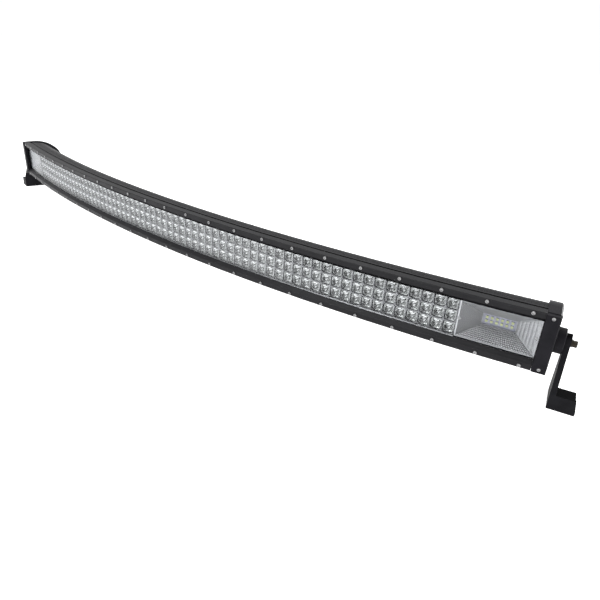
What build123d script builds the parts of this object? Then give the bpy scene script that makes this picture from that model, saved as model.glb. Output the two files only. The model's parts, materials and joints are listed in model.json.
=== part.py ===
"""Curved triple-row LED light bar with swivelling end brackets.

Millimetres, +Z up.  The origin lies midway between the two foot bolt holes, on the underside of the
bracket feet.  +X runs along the bar, and the bar shines towards -Y.  The bar bows forward in an arc, so
every long piece is a cross-section swept around one upright axis behind the bar.
"""
from build123d import *
from math import cos, degrees, sin, sqrt
import os

# ---- the arc that the bar follows -------------------------------------------------------------------
SCREW_PITCH = 55.0                 # along the arc, between neighbouring bezel screws
SCREWS_PER_RAIL = 24
LAST_SCREW_SHIFT = 3.0             # the outermost screws sit this much nearer to their neighbours
ARC_LENGTH = SCREW_PITCH * SCREWS_PER_RAIL
ARC_END = ARC_LENGTH / 2           # arc position of the end caps' outer faces
FRONT_RADIUS = 2940.0              # radius of the bezel's front face
CAP_WIDTH = 16.5
WINDOW_END = ARC_END - CAP_WIDTH

# ---- cross-section: depth runs back from the bezel's front face, height from the bar's middle --------
RAIL_DEPTH = 10.4
RAIL_TOP = 38.8
RAIL_INNER = 31.0                  # height where the bevel around the window begins
WINDOW_HALF = 25.8
SCREW_ROW = 35.4
LENS_FRONT = 5.5
LENS_THICKNESS = 3.0
LENS_HALF = 30.0
HOUSING_FRONT = 10.6
HOUSING_SHOULDER = 38.4
CHANNEL_HALF = 26.6
CHANNEL_FLOOR = 32.0
CREST_DEPTH = 27.0                 # depth of the widest point of the D-shaped back
CREST_HALF = 38.2
BACK_REACH = 41.0                  # from the crest to the tips of the rearmost fins
CHAMBER_FRONT = 35.5               # hollow behind the channel floor, for the drivers
CHAMBER_BACK = 50.5
CHAMBER_HALF = 17.5
FIN_PITCH = 6.4
FIN_GAP = 4.2
FIN_GAPS = [2.5, 3.5, 4.5]         # gaps between fins, counted in fin pitches from the middle
HOUSING_END = ARC_END - 14.0

# ---- fits ---------------------------------------------------------------------------------------------
CONTACT_GAP = 0.02                 # left between pieces that touch, so that they don't overlap
LENS_GAP = 0.05                    # between the lens and the frame in front of it
THROUGH = 40.0                     # longer than any wall that a hole passes through

# ---- light modules ----------------------------------------------------------------------------------
SPOT_MODULES = 11
CELL_COLUMNS = 6
CELL_ROWS = 3
CELL_WIDTH = 16.42
CELL_HEIGHT = 16.87
MODULE_PITCH = 99.18               # along the arc, between neighbouring spot modules
MODULE_FRONT = 9.2
FLOOD_FRONT = 9.7
MODULE_HEIGHT = CELL_ROWS * CELL_HEIGHT
BOARD_FRONT = 29.9
BOARD_THICKNESS = 1.6
FLOOD_LENGTH = 96.6
FLOOD_CENTRE = (SPOT_MODULES * MODULE_PITCH / 2 + WINDOW_END) / 2
FLOOD_CHIP_COLUMNS = 6
FLOOD_CHIP_ROWS = 2
FLOOD_CHIP_SPACING = (6.2, 5.4)
REFLECTOR_SCREW_OFFSET = 46.0

# ---- ends and brackets ------------------------------------------------------------------------------
CAP_CREST_HALF = 39.6
CAP_BACK_REACH = 56.0
CAP_SKIN = 3.6
BEZEL_PROUD = 2.0
END_BEZEL_BACK = 5.0
CAP_SCREW_ROW = 34.0
CAP_SKIRT = 3.7                    # how far the cap reaches over the housing
SIDE_SCREWS = [(20.0, 32.0), (20.0, -32.0), (40.0, 24.0), (40.0, -24.0)]   # depth, height
PIVOT_DEPTH = 22.0
SPACER_RADIUS = 16.0
SPACER_LENGTH = 10.3
ARM_CLEARANCE = 0.1
ARM_THICKNESS = 6.5
ARM_TOP_RADIUS = 11.0
BOLT_RADIUS = 2.5
BOLT_RUNNING_CLEARANCE = 0.06
FOOT_DROP = 78.0                   # pivot height above the foot's underside
FOOT_FRONT = -7.0
FOOT_BACK = 41.0
FOOT_LENGTH = 31.4                 # from the arm's inner face outward
LIP_TOP_LENGTH = 29.0              # the lip narrows upward
FOOT_THICKNESS = 5.0
LIP_HEIGHT = 20.0
LIP_THICKNESS = 4.0
FOOT_HOLE_OUT = 20.0               # from the arm's inner face
FOOT_HOLE_DEPTH = 17.0
FOOT_HOLE_RADIUS = 4.5

# ---- cable at the back ------------------------------------------------------------------------------
REAR_CHANNEL_HALF = 11.7           # smooth channel along the middle of the back, between the fins
REAR_CHANNEL_FLOOR = 54.0
REAR_CHANNEL_SEAT = REAR_CHANNEL_FLOOR + 0.05      # where the gland and the breather sit
GLAND_POSITION = -342.0
BREATHER_POSITION = -316.0
CABLE_RADIUS = 3.2

ARM_INNER = SPACER_LENGTH + ARM_CLEARANCE          # outward from the end cap's face
ARM_OUTER = ARM_INNER + ARM_THICKNESS


def arc_angle(position):
    """Angle around the arc's axis, in radians, at an arc position."""
    return position / FRONT_RADIUS


def hole_offset_behind_front():
    """How far the foot holes lie behind the middle of the bar's front face."""
    angle = arc_angle(WINDOW_END)
    front = FRONT_RADIUS * (1 - cos(angle))
    outward = CAP_WIDTH + ARM_INNER + FOOT_HOLE_OUT
    return front + FOOT_HOLE_DEPTH * cos(angle) + outward * sin(angle)


ARC_AXIS_Y = FRONT_RADIUS - hole_offset_behind_front()
ARC_AXIS = Axis((0, ARC_AXIS_Y, 0), (0, 0, 1))


def arc_point(position, depth=0.0, height=0.0, outward=0.0):
    """Point of the bar at an arc position, moved outward along the straight tangent there."""
    angle = arc_angle(position)
    radius = FRONT_RADIUS - depth
    x = radius * sin(angle) + outward * cos(angle)
    y = ARC_AXIS_Y - radius * cos(angle) + outward * sin(angle)
    return Vector(x, y, FOOT_DROP + height)


def cross_section(position, outward=0.0):
    """Plane square to the arc: x is depth, y is height, and it faces the right end."""
    angle = arc_angle(position)
    return Plane(
        origin=arc_point(position, outward=outward),
        x_dir=(-sin(angle), cos(angle), 0),
        z_dir=(cos(angle), sin(angle), 0),
    )


def end_section(outward=0.0):
    """Plane across the right end, at a straight distance outward from the end of the window."""
    return cross_section(WINDOW_END, outward)


def end_facing(outward, depth=0.0, height=0.0):
    """Forward-facing plane in the right end's own straight frame."""
    angle = arc_angle(WINDOW_END)
    return Plane(
        origin=end_section(outward).from_local_coords((depth, height, 0)),
        x_dir=(cos(angle), sin(angle), 0),
        z_dir=(sin(angle), -cos(angle), 0),
    )


def facing(position, depth=0.0, height=0.0):
    """Plane that faces forward out of the bar: x runs along the bar, y up."""
    angle = arc_angle(position)
    return Plane(
        origin=arc_point(position, depth, height),
        x_dir=(cos(angle), sin(angle), 0),
        z_dir=(sin(angle), -cos(angle), 0),
    )


def sweep_degrees(half_length):
    """Angle that a piece of the given half length covers around the arc."""
    return degrees(2 * arc_angle(half_length))


def write(piece, name):
    """Label a finished piece and write its STEP file."""
    piece.part.label = name
    export_step(piece.part, f"parts/{name}.step")


def write_pair(piece, name):
    """Write a right-hand piece and its mirror image at the left end."""
    write(piece, f"right_{name}")
    with BuildPart() as left:
        mirror(piece.part, about=Plane.YZ)
    write(left, f"left_{name}")


os.makedirs("parts", exist_ok=True)

screw_positions = [(i + 0.5 - SCREWS_PER_RAIL / 2) * SCREW_PITCH for i in range(SCREWS_PER_RAIL)]
screw_positions[0] += LAST_SCREW_SHIFT
screw_positions[-1] -= LAST_SCREW_SHIFT
module_positions = [(i - (SPOT_MODULES - 1) / 2) * MODULE_PITCH for i in range(SPOT_MODULES)]
FLOOD_POSITIONS = [-FLOOD_CENTRE, FLOOD_CENTRE]
CENTRE_BACK = (Align.CENTER, Align.CENTER, Align.MAX)
CENTRE_FRONT = (Align.CENTER, Align.CENTER, Align.MIN)

# ======================================================================================================
# Finned housing: one extrusion with a front channel, a driver chamber and fins along the back
# ======================================================================================================
SCREW_HOLE_RADIUS = 1.5
SCREW_HOLE_LENGTH = 8.4
REFLECTOR_SCREW_HOLE_LENGTH = 2.6
GLAND_HOLE_RADIUS = 6.05
BREATHER_HOLE_RADIUS = 3.05
SHOULDER_BACK = 12.6
GROOVE_BACK = 17.2
GROOVE_HALF = 36.9
TOP_LINE_DEPTHS = [22.0, 26.0, 30.0, 34.0]
TOP_LINE_WIDTH = 1.2
SHOULDER_HOLLOW = (13.0, 6.2)      # depth and height of the hollow in each shoulder
SHOULDER_HOLLOW_PLACE = (29.7, 32.3)
FIN_ROOT_REACH = 28.5
FIN_ROOT_HALF = 37.0
SIDE_SCREW_HOLE_RADIUS = 1.7
SIDE_SCREW_HOLE_LENGTH = 14.0


def fin_root(height):
    """Depth of the bottom of the gap between two fins: the roots follow an oval."""
    return CREST_DEPTH + FIN_ROOT_REACH * sqrt(1 - (height / FIN_ROOT_HALF) ** 2)


with BuildPart() as housing:
    with BuildSketch(cross_section(-HOUSING_END)):
        with BuildLine():
            back = EllipticalCenterArc(
                (CREST_DEPTH, 0), BACK_REACH, CREST_HALF, start_angle=-90, arc_size=180
            )
            Polyline(
                back @ 1,
                (GROOVE_BACK, HOUSING_SHOULDER),
                (GROOVE_BACK, GROOVE_HALF),
                (SHOULDER_BACK, GROOVE_HALF),
                (SHOULDER_BACK, HOUSING_SHOULDER),
                (HOUSING_FRONT, HOUSING_SHOULDER),
                (HOUSING_FRONT, -HOUSING_SHOULDER),
                (SHOULDER_BACK, -HOUSING_SHOULDER),
                (SHOULDER_BACK, -GROOVE_HALF),
                (GROOVE_BACK, -GROOVE_HALF),
                (GROOVE_BACK, -HOUSING_SHOULDER),
                back @ 0,
            )
        make_face()
        with Locations(((HOUSING_FRONT + CHANNEL_FLOOR) / 2, 0)):
            Rectangle(CHANNEL_FLOOR - HOUSING_FRONT, 2 * CHANNEL_HALF, mode=Mode.SUBTRACT)
        with Locations(((CHAMBER_FRONT + CHAMBER_BACK) / 2, 0)):
            Rectangle(CHAMBER_BACK - CHAMBER_FRONT, 2 * CHAMBER_HALF, mode=Mode.SUBTRACT)
        hollow_depth, hollow_height = SHOULDER_HOLLOW_PLACE
        with Locations((hollow_depth, hollow_height), (hollow_depth, -hollow_height)):
            Rectangle(*SHOULDER_HOLLOW, mode=Mode.SUBTRACT)
        beyond = CREST_DEPTH + BACK_REACH + TOP_LINE_WIDTH     # clear of the whole section
        with Locations(((REAR_CHANNEL_FLOOR + beyond) / 2, 0)):
            Rectangle(beyond - REAR_CHANNEL_FLOOR, 2 * REAR_CHANNEL_HALF, mode=Mode.SUBTRACT)
        for gap in FIN_GAPS:
            gap_height = gap * FIN_PITCH
            root = fin_root(gap_height)
            with Locations(((root + beyond) / 2, gap_height), ((root + beyond) / 2, -gap_height)):
                Rectangle(beyond - root, FIN_GAP, mode=Mode.SUBTRACT)
        with Locations([(depth, side * CREST_HALF) for depth in TOP_LINE_DEPTHS for side in (1, -1)]):
            Rectangle(TOP_LINE_WIDTH, 2 * TOP_LINE_WIDTH, mode=Mode.SUBTRACT)
    revolve(axis=ARC_AXIS, revolution_arc=sweep_degrees(HOUSING_END))
    # threaded holes for the bezel screws
    for screw_height in (SCREW_ROW, -SCREW_ROW):
        with Locations([facing(s, HOUSING_FRONT, screw_height) for s in screw_positions]):
            Cylinder(SCREW_HOLE_RADIUS, SCREW_HOLE_LENGTH, align=CENTRE_BACK, mode=Mode.SUBTRACT)
    # threaded ports for the end cap screws
    with Locations([cross_section(HOUSING_END) * Pos(d, h, 0) for d, h in SIDE_SCREWS]):
        Cylinder(SIDE_SCREW_HOLE_RADIUS, SIDE_SCREW_HOLE_LENGTH, align=CENTRE_BACK, mode=Mode.SUBTRACT)
    with Locations([cross_section(-HOUSING_END) * Pos(d, h, 0) for d, h in SIDE_SCREWS]):
        Cylinder(SIDE_SCREW_HOLE_RADIUS, SIDE_SCREW_HOLE_LENGTH, align=CENTRE_FRONT, mode=Mode.SUBTRACT)
    # blind holes for the flood reflector screws
    with Locations([facing(s, CHANNEL_FLOOR) for s in FLOOD_POSITIONS]):
        with GridLocations(2 * REFLECTOR_SCREW_OFFSET, 0, 2, 1):
            Cylinder(SCREW_HOLE_RADIUS, REFLECTOR_SCREW_HOLE_LENGTH, align=CENTRE_BACK, mode=Mode.SUBTRACT)
    # openings through the back wall for the cable gland and the breather
    back_wall = REAR_CHANNEL_FLOOR - CHAMBER_BACK
    with Locations(facing(GLAND_POSITION, CHAMBER_BACK + back_wall / 2)):
        Cylinder(GLAND_HOLE_RADIUS, 2 * back_wall, mode=Mode.SUBTRACT)
    with Locations(facing(BREATHER_POSITION, CHAMBER_BACK + back_wall / 2)):
        Cylinder(BREATHER_HOLE_RADIUS, 2 * back_wall, mode=Mode.SUBTRACT)
write(housing, "housing")

# ======================================================================================================
# Bezel rails, with their screws
# ======================================================================================================
RAIL_END = WINDOW_END - 0.3
RAIL_EDGE = 0.8
RAIL_HOLE_RADIUS = 1.6
RAIL_BODY_INNER = 30.4

with BuildPart() as upper_bezel_rail:
    with BuildSketch(cross_section(-RAIL_END)):
        with BuildLine():
            Polyline(
                (LENS_FRONT - LENS_GAP, WINDOW_HALF),
                (0, RAIL_INNER),
                (0, RAIL_TOP - RAIL_EDGE),
                (RAIL_EDGE, RAIL_TOP),
                (RAIL_DEPTH, RAIL_TOP),
                (RAIL_DEPTH, RAIL_BODY_INNER),
                (LENS_FRONT - LENS_GAP, RAIL_BODY_INNER),
                close=True,
            )
        make_face()
    revolve(axis=ARC_AXIS, revolution_arc=sweep_degrees(RAIL_END))
    with Locations([facing(s, 0, SCREW_ROW) for s in screw_positions]):
        Cylinder(RAIL_HOLE_RADIUS, THROUGH, mode=Mode.SUBTRACT)
write(upper_bezel_rail, "upper_bezel_rail")

with BuildPart() as lower_bezel_rail:
    mirror(upper_bezel_rail.part, about=Plane.XY.offset(FOOT_DROP))
write(lower_bezel_rail, "lower_bezel_rail")

SCREW_HEAD_RADIUS = 2.35
SCREW_HEAD_HEIGHT = 1.5
SCREW_HEAD_ROUND = 0.6
SCREW_SHANK_RADIUS = 1.45
SCREW_SHANK_LENGTH = 16.0
HEX_SOCKET_RADIUS = 1.25
HEX_SOCKET_DEPTH = 0.9

with BuildPart() as small_screw:
    Cylinder(SCREW_HEAD_RADIUS, SCREW_HEAD_HEIGHT, align=CENTRE_FRONT)
    fillet(small_screw.edges().group_by(Axis.Z)[-1], SCREW_HEAD_ROUND)
    with BuildSketch(Plane.XY.offset(SCREW_HEAD_HEIGHT)):
        RegularPolygon(HEX_SOCKET_RADIUS, 6)
    extrude(amount=-HEX_SOCKET_DEPTH, mode=Mode.SUBTRACT)
    Cylinder(SCREW_SHANK_RADIUS, SCREW_SHANK_LENGTH, align=CENTRE_BACK)

for row_name, row_height in (("upper", SCREW_ROW), ("lower", -SCREW_ROW)):
    with BuildPart() as bezel_screws:
        with Locations([facing(s, 0, row_height) for s in screw_positions]):
            add(small_screw.part)
    write(bezel_screws, f"{row_name}_bezel_screws")

# ======================================================================================================
# Front lens and its gasket
# ======================================================================================================
LENS_END = HOUSING_END - 0.2
GASKET_INNER = 27.0
GASKET_FRONT = LENS_FRONT + LENS_THICKNESS + CONTACT_GAP

with BuildPart() as front_lens:
    with BuildSketch(cross_section(-LENS_END)):
        with Locations((LENS_FRONT + LENS_THICKNESS / 2, 0)):
            Rectangle(LENS_THICKNESS, 2 * LENS_HALF)
    revolve(axis=ARC_AXIS, revolution_arc=sweep_degrees(LENS_END))
write(front_lens, "front_lens")

gasket_thickness = HOUSING_FRONT - CONTACT_GAP - GASKET_FRONT
gasket_middle = GASKET_FRONT + gasket_thickness / 2
with BuildPart() as lens_gasket:
    with BuildSketch(cross_section(-LENS_END)):
        with Locations((gasket_middle, 0)):
            Rectangle(gasket_thickness, 2 * LENS_HALF)
    revolve(axis=ARC_AXIS, revolution_arc=sweep_degrees(LENS_END))
    with BuildSketch(cross_section(-WINDOW_END)):
        with Locations((gasket_middle, 0)):
            Rectangle(2 * gasket_thickness, 2 * GASKET_INNER)
    revolve(axis=ARC_AXIS, revolution_arc=sweep_degrees(WINDOW_END), mode=Mode.SUBTRACT)
write(lens_gasket, "lens_gasket")

# ======================================================================================================
# Spot modules: a sheet of clear optics, a holder, a board with its chips, and a thermal pad
# ======================================================================================================
SHEET_GAP = 0.8                    # between neighbouring optic sheets
BOARD_GAP = 1.6                    # between boards: flat ones come closer together deeper in the arc
OPTIC_SHEET = 2.0
OPTIC_CONE = 14.0
OPTIC_TAPER = 15.0
OPTIC_GAP = 0.8                    # between neighbouring cones
HOLDER_BACK = 28.3
HOLDER_THICKNESS = 1.6
HOLDER_HOLE = 10.0
BOARD_HEIGHT = MODULE_HEIGHT - 1.0
CHIP_SIZE = 3.5
CHIP_HEIGHT = 1.4
PAD_THICKNESS = 0.45
PAD_HEIGHT = MODULE_HEIGHT - 3.0
PAD_INSET = 2.0                    # shorter than the board
FLOOD_PAD_LENGTH = 2 * REFLECTOR_SCREW_OFFSET - 8.0
JUMPER_RADIUS = 0.55
JUMPER_LENGTH = 9.0
JUMPER_LIFT = 1.2                  # in front of the boards
JUMPER_HEIGHT = 22.0
sheet_length = MODULE_PITCH - SHEET_GAP
board_length = MODULE_PITCH - BOARD_GAP
spot_places = [facing(s) for s in module_positions]

with BuildPart() as optic_sheet:
    with BuildSketch(Plane.XY.offset(-MODULE_FRONT)):
        Rectangle(sheet_length, MODULE_HEIGHT)
    extrude(amount=-OPTIC_SHEET)
    with BuildSketch(Plane.XY.offset(-MODULE_FRONT - OPTIC_SHEET)):
        with GridLocations(CELL_WIDTH, CELL_HEIGHT, CELL_COLUMNS, CELL_ROWS):
            Rectangle(CELL_WIDTH - OPTIC_GAP, CELL_HEIGHT - OPTIC_GAP)
    extrude(amount=-OPTIC_CONE, taper=OPTIC_TAPER)

with BuildPart() as spot_optics:
    with Locations(spot_places):
        add(optic_sheet.part)
write(spot_optics, "spot_optics")

with BuildPart() as optic_holder:
    with BuildSketch(Plane.XY.offset(-HOLDER_BACK)):
        Rectangle(board_length, MODULE_HEIGHT)
        with GridLocations(CELL_WIDTH, CELL_HEIGHT, CELL_COLUMNS, CELL_ROWS):
            Rectangle(HOLDER_HOLE, HOLDER_HOLE, mode=Mode.SUBTRACT)
    extrude(amount=HOLDER_THICKNESS)

with BuildPart() as spot_optic_holders:
    with Locations(spot_places):
        add(optic_holder.part)
write(spot_optic_holders, "spot_optic_holders")

with BuildPart() as spot_led_boards:
    with Locations([facing(s, BOARD_FRONT) for s in module_positions]):
        Box(board_length, BOARD_HEIGHT, BOARD_THICKNESS, align=CENTRE_BACK)
write(spot_led_boards, "spot_led_boards")

with BuildPart() as spot_leds:
    with Locations([facing(s, BOARD_FRONT) for s in module_positions]):
        with GridLocations(CELL_WIDTH, CELL_HEIGHT, CELL_COLUMNS, CELL_ROWS):
            Box(CHIP_SIZE, CHIP_SIZE, CHIP_HEIGHT, align=CENTRE_FRONT)
write(spot_leds, "spot_leds")

with BuildPart() as thermal_pads:
    pad_depth = BOARD_FRONT + BOARD_THICKNESS
    with Locations([facing(s, pad_depth) for s in module_positions]):
        Box(board_length - PAD_INSET, PAD_HEIGHT, PAD_THICKNESS, align=CENTRE_BACK)
    with Locations([facing(s, pad_depth) for s in FLOOD_POSITIONS]):
        Box(FLOOD_PAD_LENGTH, PAD_HEIGHT, PAD_THICKNESS, align=CENTRE_BACK)
write(thermal_pads, "thermal_pads")

with BuildPart() as board_jumpers:
    gaps = [(i - SPOT_MODULES / 2) * MODULE_PITCH for i in range(SPOT_MODULES + 1)]
    with Locations([facing(s, BOARD_FRONT - JUMPER_LIFT) for s in gaps]):
        with GridLocations(0, 2 * JUMPER_HEIGHT, 1, 2):
            Cylinder(JUMPER_RADIUS, JUMPER_LENGTH, rotation=(0, 90, 0))
write(board_jumpers, "board_jumpers")

# ======================================================================================================
# Flood modules at the two ends of the window
# ======================================================================================================
FLOOD_RIM = 1.2
FLOOD_WALL = 1.2
FLOOD_MOUTH = (93.0, 48.0)
FLOOD_FLOOR = (42.0, 16.0)
FLOOD_FLOOR_DEPTH = 28.2
FLOOD_FLOOR_OPENING = (38.0, 12.0)
REFLECTOR_HOLE_RADIUS = 1.8
REFLECTOR_SCREW_RADIUS = 1.3
REFLECTOR_SCREW_HEAD_RADIUS = 2.4
REFLECTOR_SCREW_HEAD = 0.5         # the head lies flat, so that it clears the lens
REFLECTOR_SCREW_BITE = 2.2         # length that goes into the housing

with BuildPart() as flood_reflector:
    with BuildSketch(facing(FLOOD_CENTRE, FLOOD_FRONT)):
        Rectangle(FLOOD_LENGTH, MODULE_HEIGHT)
    extrude(amount=-FLOOD_RIM)
    with BuildSketch(facing(FLOOD_CENTRE, FLOOD_FRONT)):
        Rectangle(FLOOD_MOUTH[0] + 2 * FLOOD_WALL, FLOOD_MOUTH[1] + 2 * FLOOD_WALL)
    with BuildSketch(facing(FLOOD_CENTRE, FLOOD_FLOOR_DEPTH)):
        Rectangle(FLOOD_FLOOR[0] + 2 * FLOOD_WALL, FLOOD_FLOOR[1] + 2 * FLOOD_WALL)
    loft()
    with BuildSketch(facing(FLOOD_CENTRE, FLOOD_FRONT)):
        Rectangle(*FLOOD_MOUTH)
    with BuildSketch(facing(FLOOD_CENTRE, FLOOD_FLOOR_DEPTH - FLOOD_WALL)):
        Rectangle(*FLOOD_FLOOR)
    loft(mode=Mode.SUBTRACT)
    with Locations(facing(FLOOD_CENTRE, FLOOD_FLOOR_DEPTH)):
        Box(*FLOOD_FLOOR_OPENING, 4 * FLOOD_WALL, mode=Mode.SUBTRACT)
        with GridLocations(2 * REFLECTOR_SCREW_OFFSET, 0, 2, 1):
            Cylinder(REFLECTOR_HOLE_RADIUS, 2 * THROUGH, mode=Mode.SUBTRACT)
write_pair(flood_reflector, "flood_reflector")

with BuildPart() as flood_led_board:
    with Locations(facing(FLOOD_CENTRE, BOARD_FRONT)):
        Box(FLOOD_LENGTH, BOARD_HEIGHT, BOARD_THICKNESS, align=CENTRE_BACK)
        with GridLocations(2 * REFLECTOR_SCREW_OFFSET, 0, 2, 1):
            Cylinder(REFLECTOR_HOLE_RADIUS, THROUGH, mode=Mode.SUBTRACT)
write_pair(flood_led_board, "flood_led_board")

with BuildPart() as flood_leds:
    with Locations(facing(FLOOD_CENTRE, BOARD_FRONT)):
        with GridLocations(*FLOOD_CHIP_SPACING, FLOOD_CHIP_COLUMNS, FLOOD_CHIP_ROWS):
            Box(CHIP_SIZE, CHIP_SIZE, CHIP_HEIGHT, align=CENTRE_FRONT)
write_pair(flood_leds, "flood_leds")

screw_reach = CHANNEL_FLOOR + REFLECTOR_SCREW_BITE - FLOOD_FRONT
with BuildPart() as flood_reflector_screws:
    with Locations(facing(FLOOD_CENTRE, FLOOD_FRONT)):
        with GridLocations(2 * REFLECTOR_SCREW_OFFSET, 0, 2, 1):
            Cylinder(REFLECTOR_SCREW_HEAD_RADIUS, REFLECTOR_SCREW_HEAD, align=CENTRE_FRONT)
            Cylinder(REFLECTOR_SCREW_RADIUS, screw_reach, align=CENTRE_BACK)
write_pair(flood_reflector_screws, "flood_reflector_screws")

# ======================================================================================================
# Drivers in the rear chamber, and the wires that feed them
# ======================================================================================================
DRIVER_POSITIONS = [-190.0, 190.0]
DRIVER_DEPTH = 48.0
DRIVER_BOARD = (120.0, 30.0, 1.6)
INDUCTOR_SPACING = 60.0
INDUCTOR_RADIUS = 6.0
INDUCTOR_HEIGHT = 7.0
INDUCTOR_CORE_RADIUS = 3.0
INDUCTOR_CORE_HEIGHT = 8.0
CAPACITOR_SPACING = 16.0
CAPACITOR_RADIUS = 4.0
CAPACITOR_HEIGHT = 9.0
WIRE_RADIUS = 0.9
WIRE_DEPTH = 39.0
WIRE_HEIGHT = 15.6
driver_places = [facing(s, DRIVER_DEPTH) for s in DRIVER_POSITIONS]

with BuildPart() as driver_boards:
    with Locations(driver_places):
        Box(*DRIVER_BOARD, align=CENTRE_BACK)
write(driver_boards, "driver_boards")

with BuildPart() as driver_inductors:
    with Locations(driver_places):
        with GridLocations(INDUCTOR_SPACING, 0, 2, 1):
            Cylinder(INDUCTOR_RADIUS, INDUCTOR_HEIGHT, align=CENTRE_FRONT)
            Cylinder(INDUCTOR_CORE_RADIUS, INDUCTOR_CORE_HEIGHT, align=CENTRE_FRONT)
write(driver_inductors, "driver_inductors")

with BuildPart() as driver_capacitors:
    with Locations(driver_places):
        with GridLocations(CAPACITOR_SPACING, 0, 2, 1):
            Cylinder(CAPACITOR_RADIUS, CAPACITOR_HEIGHT, align=CENTRE_FRONT)
write(driver_capacitors, "driver_capacitors")

# two wires run from the cable gland to the far end of the second driver
wire_end = DRIVER_POSITIONS[1] + DRIVER_BOARD[0] / 2
with BuildPart() as supply_wires:
    with BuildSketch(cross_section(GLAND_POSITION)):
        with Locations((WIRE_DEPTH, WIRE_HEIGHT), (WIRE_DEPTH, -WIRE_HEIGHT)):
            Circle(WIRE_RADIUS)
    revolve(axis=ARC_AXIS, revolution_arc=degrees(arc_angle(wire_end - GLAND_POSITION)))
write(supply_wires, "supply_wires")

# ======================================================================================================
# End caps: a cup over the housing's end, a front plate, a gasket and screws
# ======================================================================================================
CAP_CLEARANCE = 0.25
CAP_WALL = 5.0
CAP_CHAMFER = 2.0
PIVOT_BOSS_RADIUS = 8.0
CAP_FRONT = END_BEZEL_BACK + LENS_GAP
CAP_SHOULDER = 38.9
LENS_SOCKET = (12.0, 2 * LENS_HALF + 0.6)          # depth, height
LENS_SOCKET_DEPTH = CAP_FRONT + 3.0
CAP_HOLLOW_STEP = 2.0
CAP_SHOULDER_WALL = 4.5
CAP_SCREW_HOLE_LENGTH = 13.0
SIDE_BOSS_RADIUS = 4.2
SIDE_HOLE_RADIUS = 2.1
SIDE_SINK_RADIUS = 3.9
SIDE_SINK_LENGTH = 2.4
PIVOT_HOLE_LENGTH = 12.0


def d_outline(front, shoulder, crest_half, reach):
    """Closed D-shaped outline on the cross-section: flat front, straight shoulders, oval back."""
    oval = EllipticalCenterArc((CREST_DEPTH, 0), reach, crest_half, start_angle=-90, arc_size=180)
    Polyline(oval @ 1, (front, shoulder), (front, -shoulder), oval @ 0)


with BuildPart() as end_cap:
    with BuildSketch(end_section()):
        with BuildLine():
            d_outline(CAP_FRONT, CAP_SHOULDER, CAP_CREST_HALF, CAP_BACK_REACH)
        make_face()
    extrude(amount=CAP_WIDTH - CAP_CHAMFER)
    # outer rim, cut back at 45 degrees except along the front
    with BuildSketch(end_section(CAP_WIDTH - CAP_CHAMFER)):
        with BuildLine():
            d_outline(CAP_FRONT, CAP_SHOULDER, CAP_CREST_HALF, CAP_BACK_REACH)
        make_face()
    with BuildSketch(end_section(CAP_WIDTH)):
        with BuildLine():
            d_outline(
                CAP_FRONT,
                CAP_SHOULDER - CAP_CHAMFER,
                CAP_CREST_HALF - CAP_CHAMFER,
                CAP_BACK_REACH - CAP_CHAMFER,
            )
        make_face()
    loft()
    # socket for the ends of the housing and the lens
    with BuildSketch(end_section()):
        with BuildLine():
            d_outline(
                HOUSING_FRONT - CAP_CLEARANCE,
                HOUSING_SHOULDER + CAP_CLEARANCE,
                CREST_HALF + CAP_CLEARANCE,
                BACK_REACH + CAP_CLEARANCE,
            )
        make_face()
        with Locations((LENS_SOCKET_DEPTH, 0)):
            Rectangle(*LENS_SOCKET)
    extrude(amount=CAP_SKIRT, mode=Mode.SUBTRACT)
    # hollow between the seat and the outer wall
    with BuildSketch(end_section(CAP_SKIRT)):
        with BuildLine():
            d_outline(
                HOUSING_FRONT + CAP_HOLLOW_STEP,
                HOUSING_SHOULDER - CAP_SHOULDER_WALL,
                CREST_HALF - CAP_SKIN,
                BACK_REACH - CAP_SKIN,
            )
        make_face()
    extrude(amount=CAP_WIDTH - CAP_SKIRT - CAP_WALL, mode=Mode.SUBTRACT)
    # bosses around the pivot bolt and the cap screws
    with Locations(end_section(CAP_WIDTH) * Pos(PIVOT_DEPTH, 0, 0)):
        Cylinder(PIVOT_BOSS_RADIUS, PIVOT_HOLE_LENGTH + CONTACT_GAP, align=CENTRE_BACK)
    with Locations([end_section(CAP_WIDTH) * Pos(d, h, 0) for d, h in SIDE_SCREWS]):
        Cylinder(SIDE_BOSS_RADIUS, CAP_WIDTH - CAP_SKIRT, align=CENTRE_BACK)
        Cylinder(SIDE_HOLE_RADIUS, THROUGH, align=CENTRE_BACK, mode=Mode.SUBTRACT)
        Cylinder(SIDE_SINK_RADIUS, SIDE_SINK_LENGTH, align=CENTRE_BACK, mode=Mode.SUBTRACT)
    with Locations(end_section(CAP_WIDTH) * Pos(PIVOT_DEPTH, 0, 0)):
        Cylinder(BOLT_RADIUS + CONTACT_GAP, PIVOT_HOLE_LENGTH, align=CENTRE_BACK, mode=Mode.SUBTRACT)
    # threaded holes for the front plate's screws
    with Locations(end_facing(CAP_WIDTH / 2, CAP_FRONT)):
        with GridLocations(0, 2 * CAP_SCREW_ROW, 1, 2):
            Cylinder(
                SCREW_HOLE_RADIUS + CONTACT_GAP,
                CAP_SCREW_HOLE_LENGTH,
                align=CENTRE_BACK,
                mode=Mode.SUBTRACT,
            )
write_pair(end_cap, "end_cap")

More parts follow.
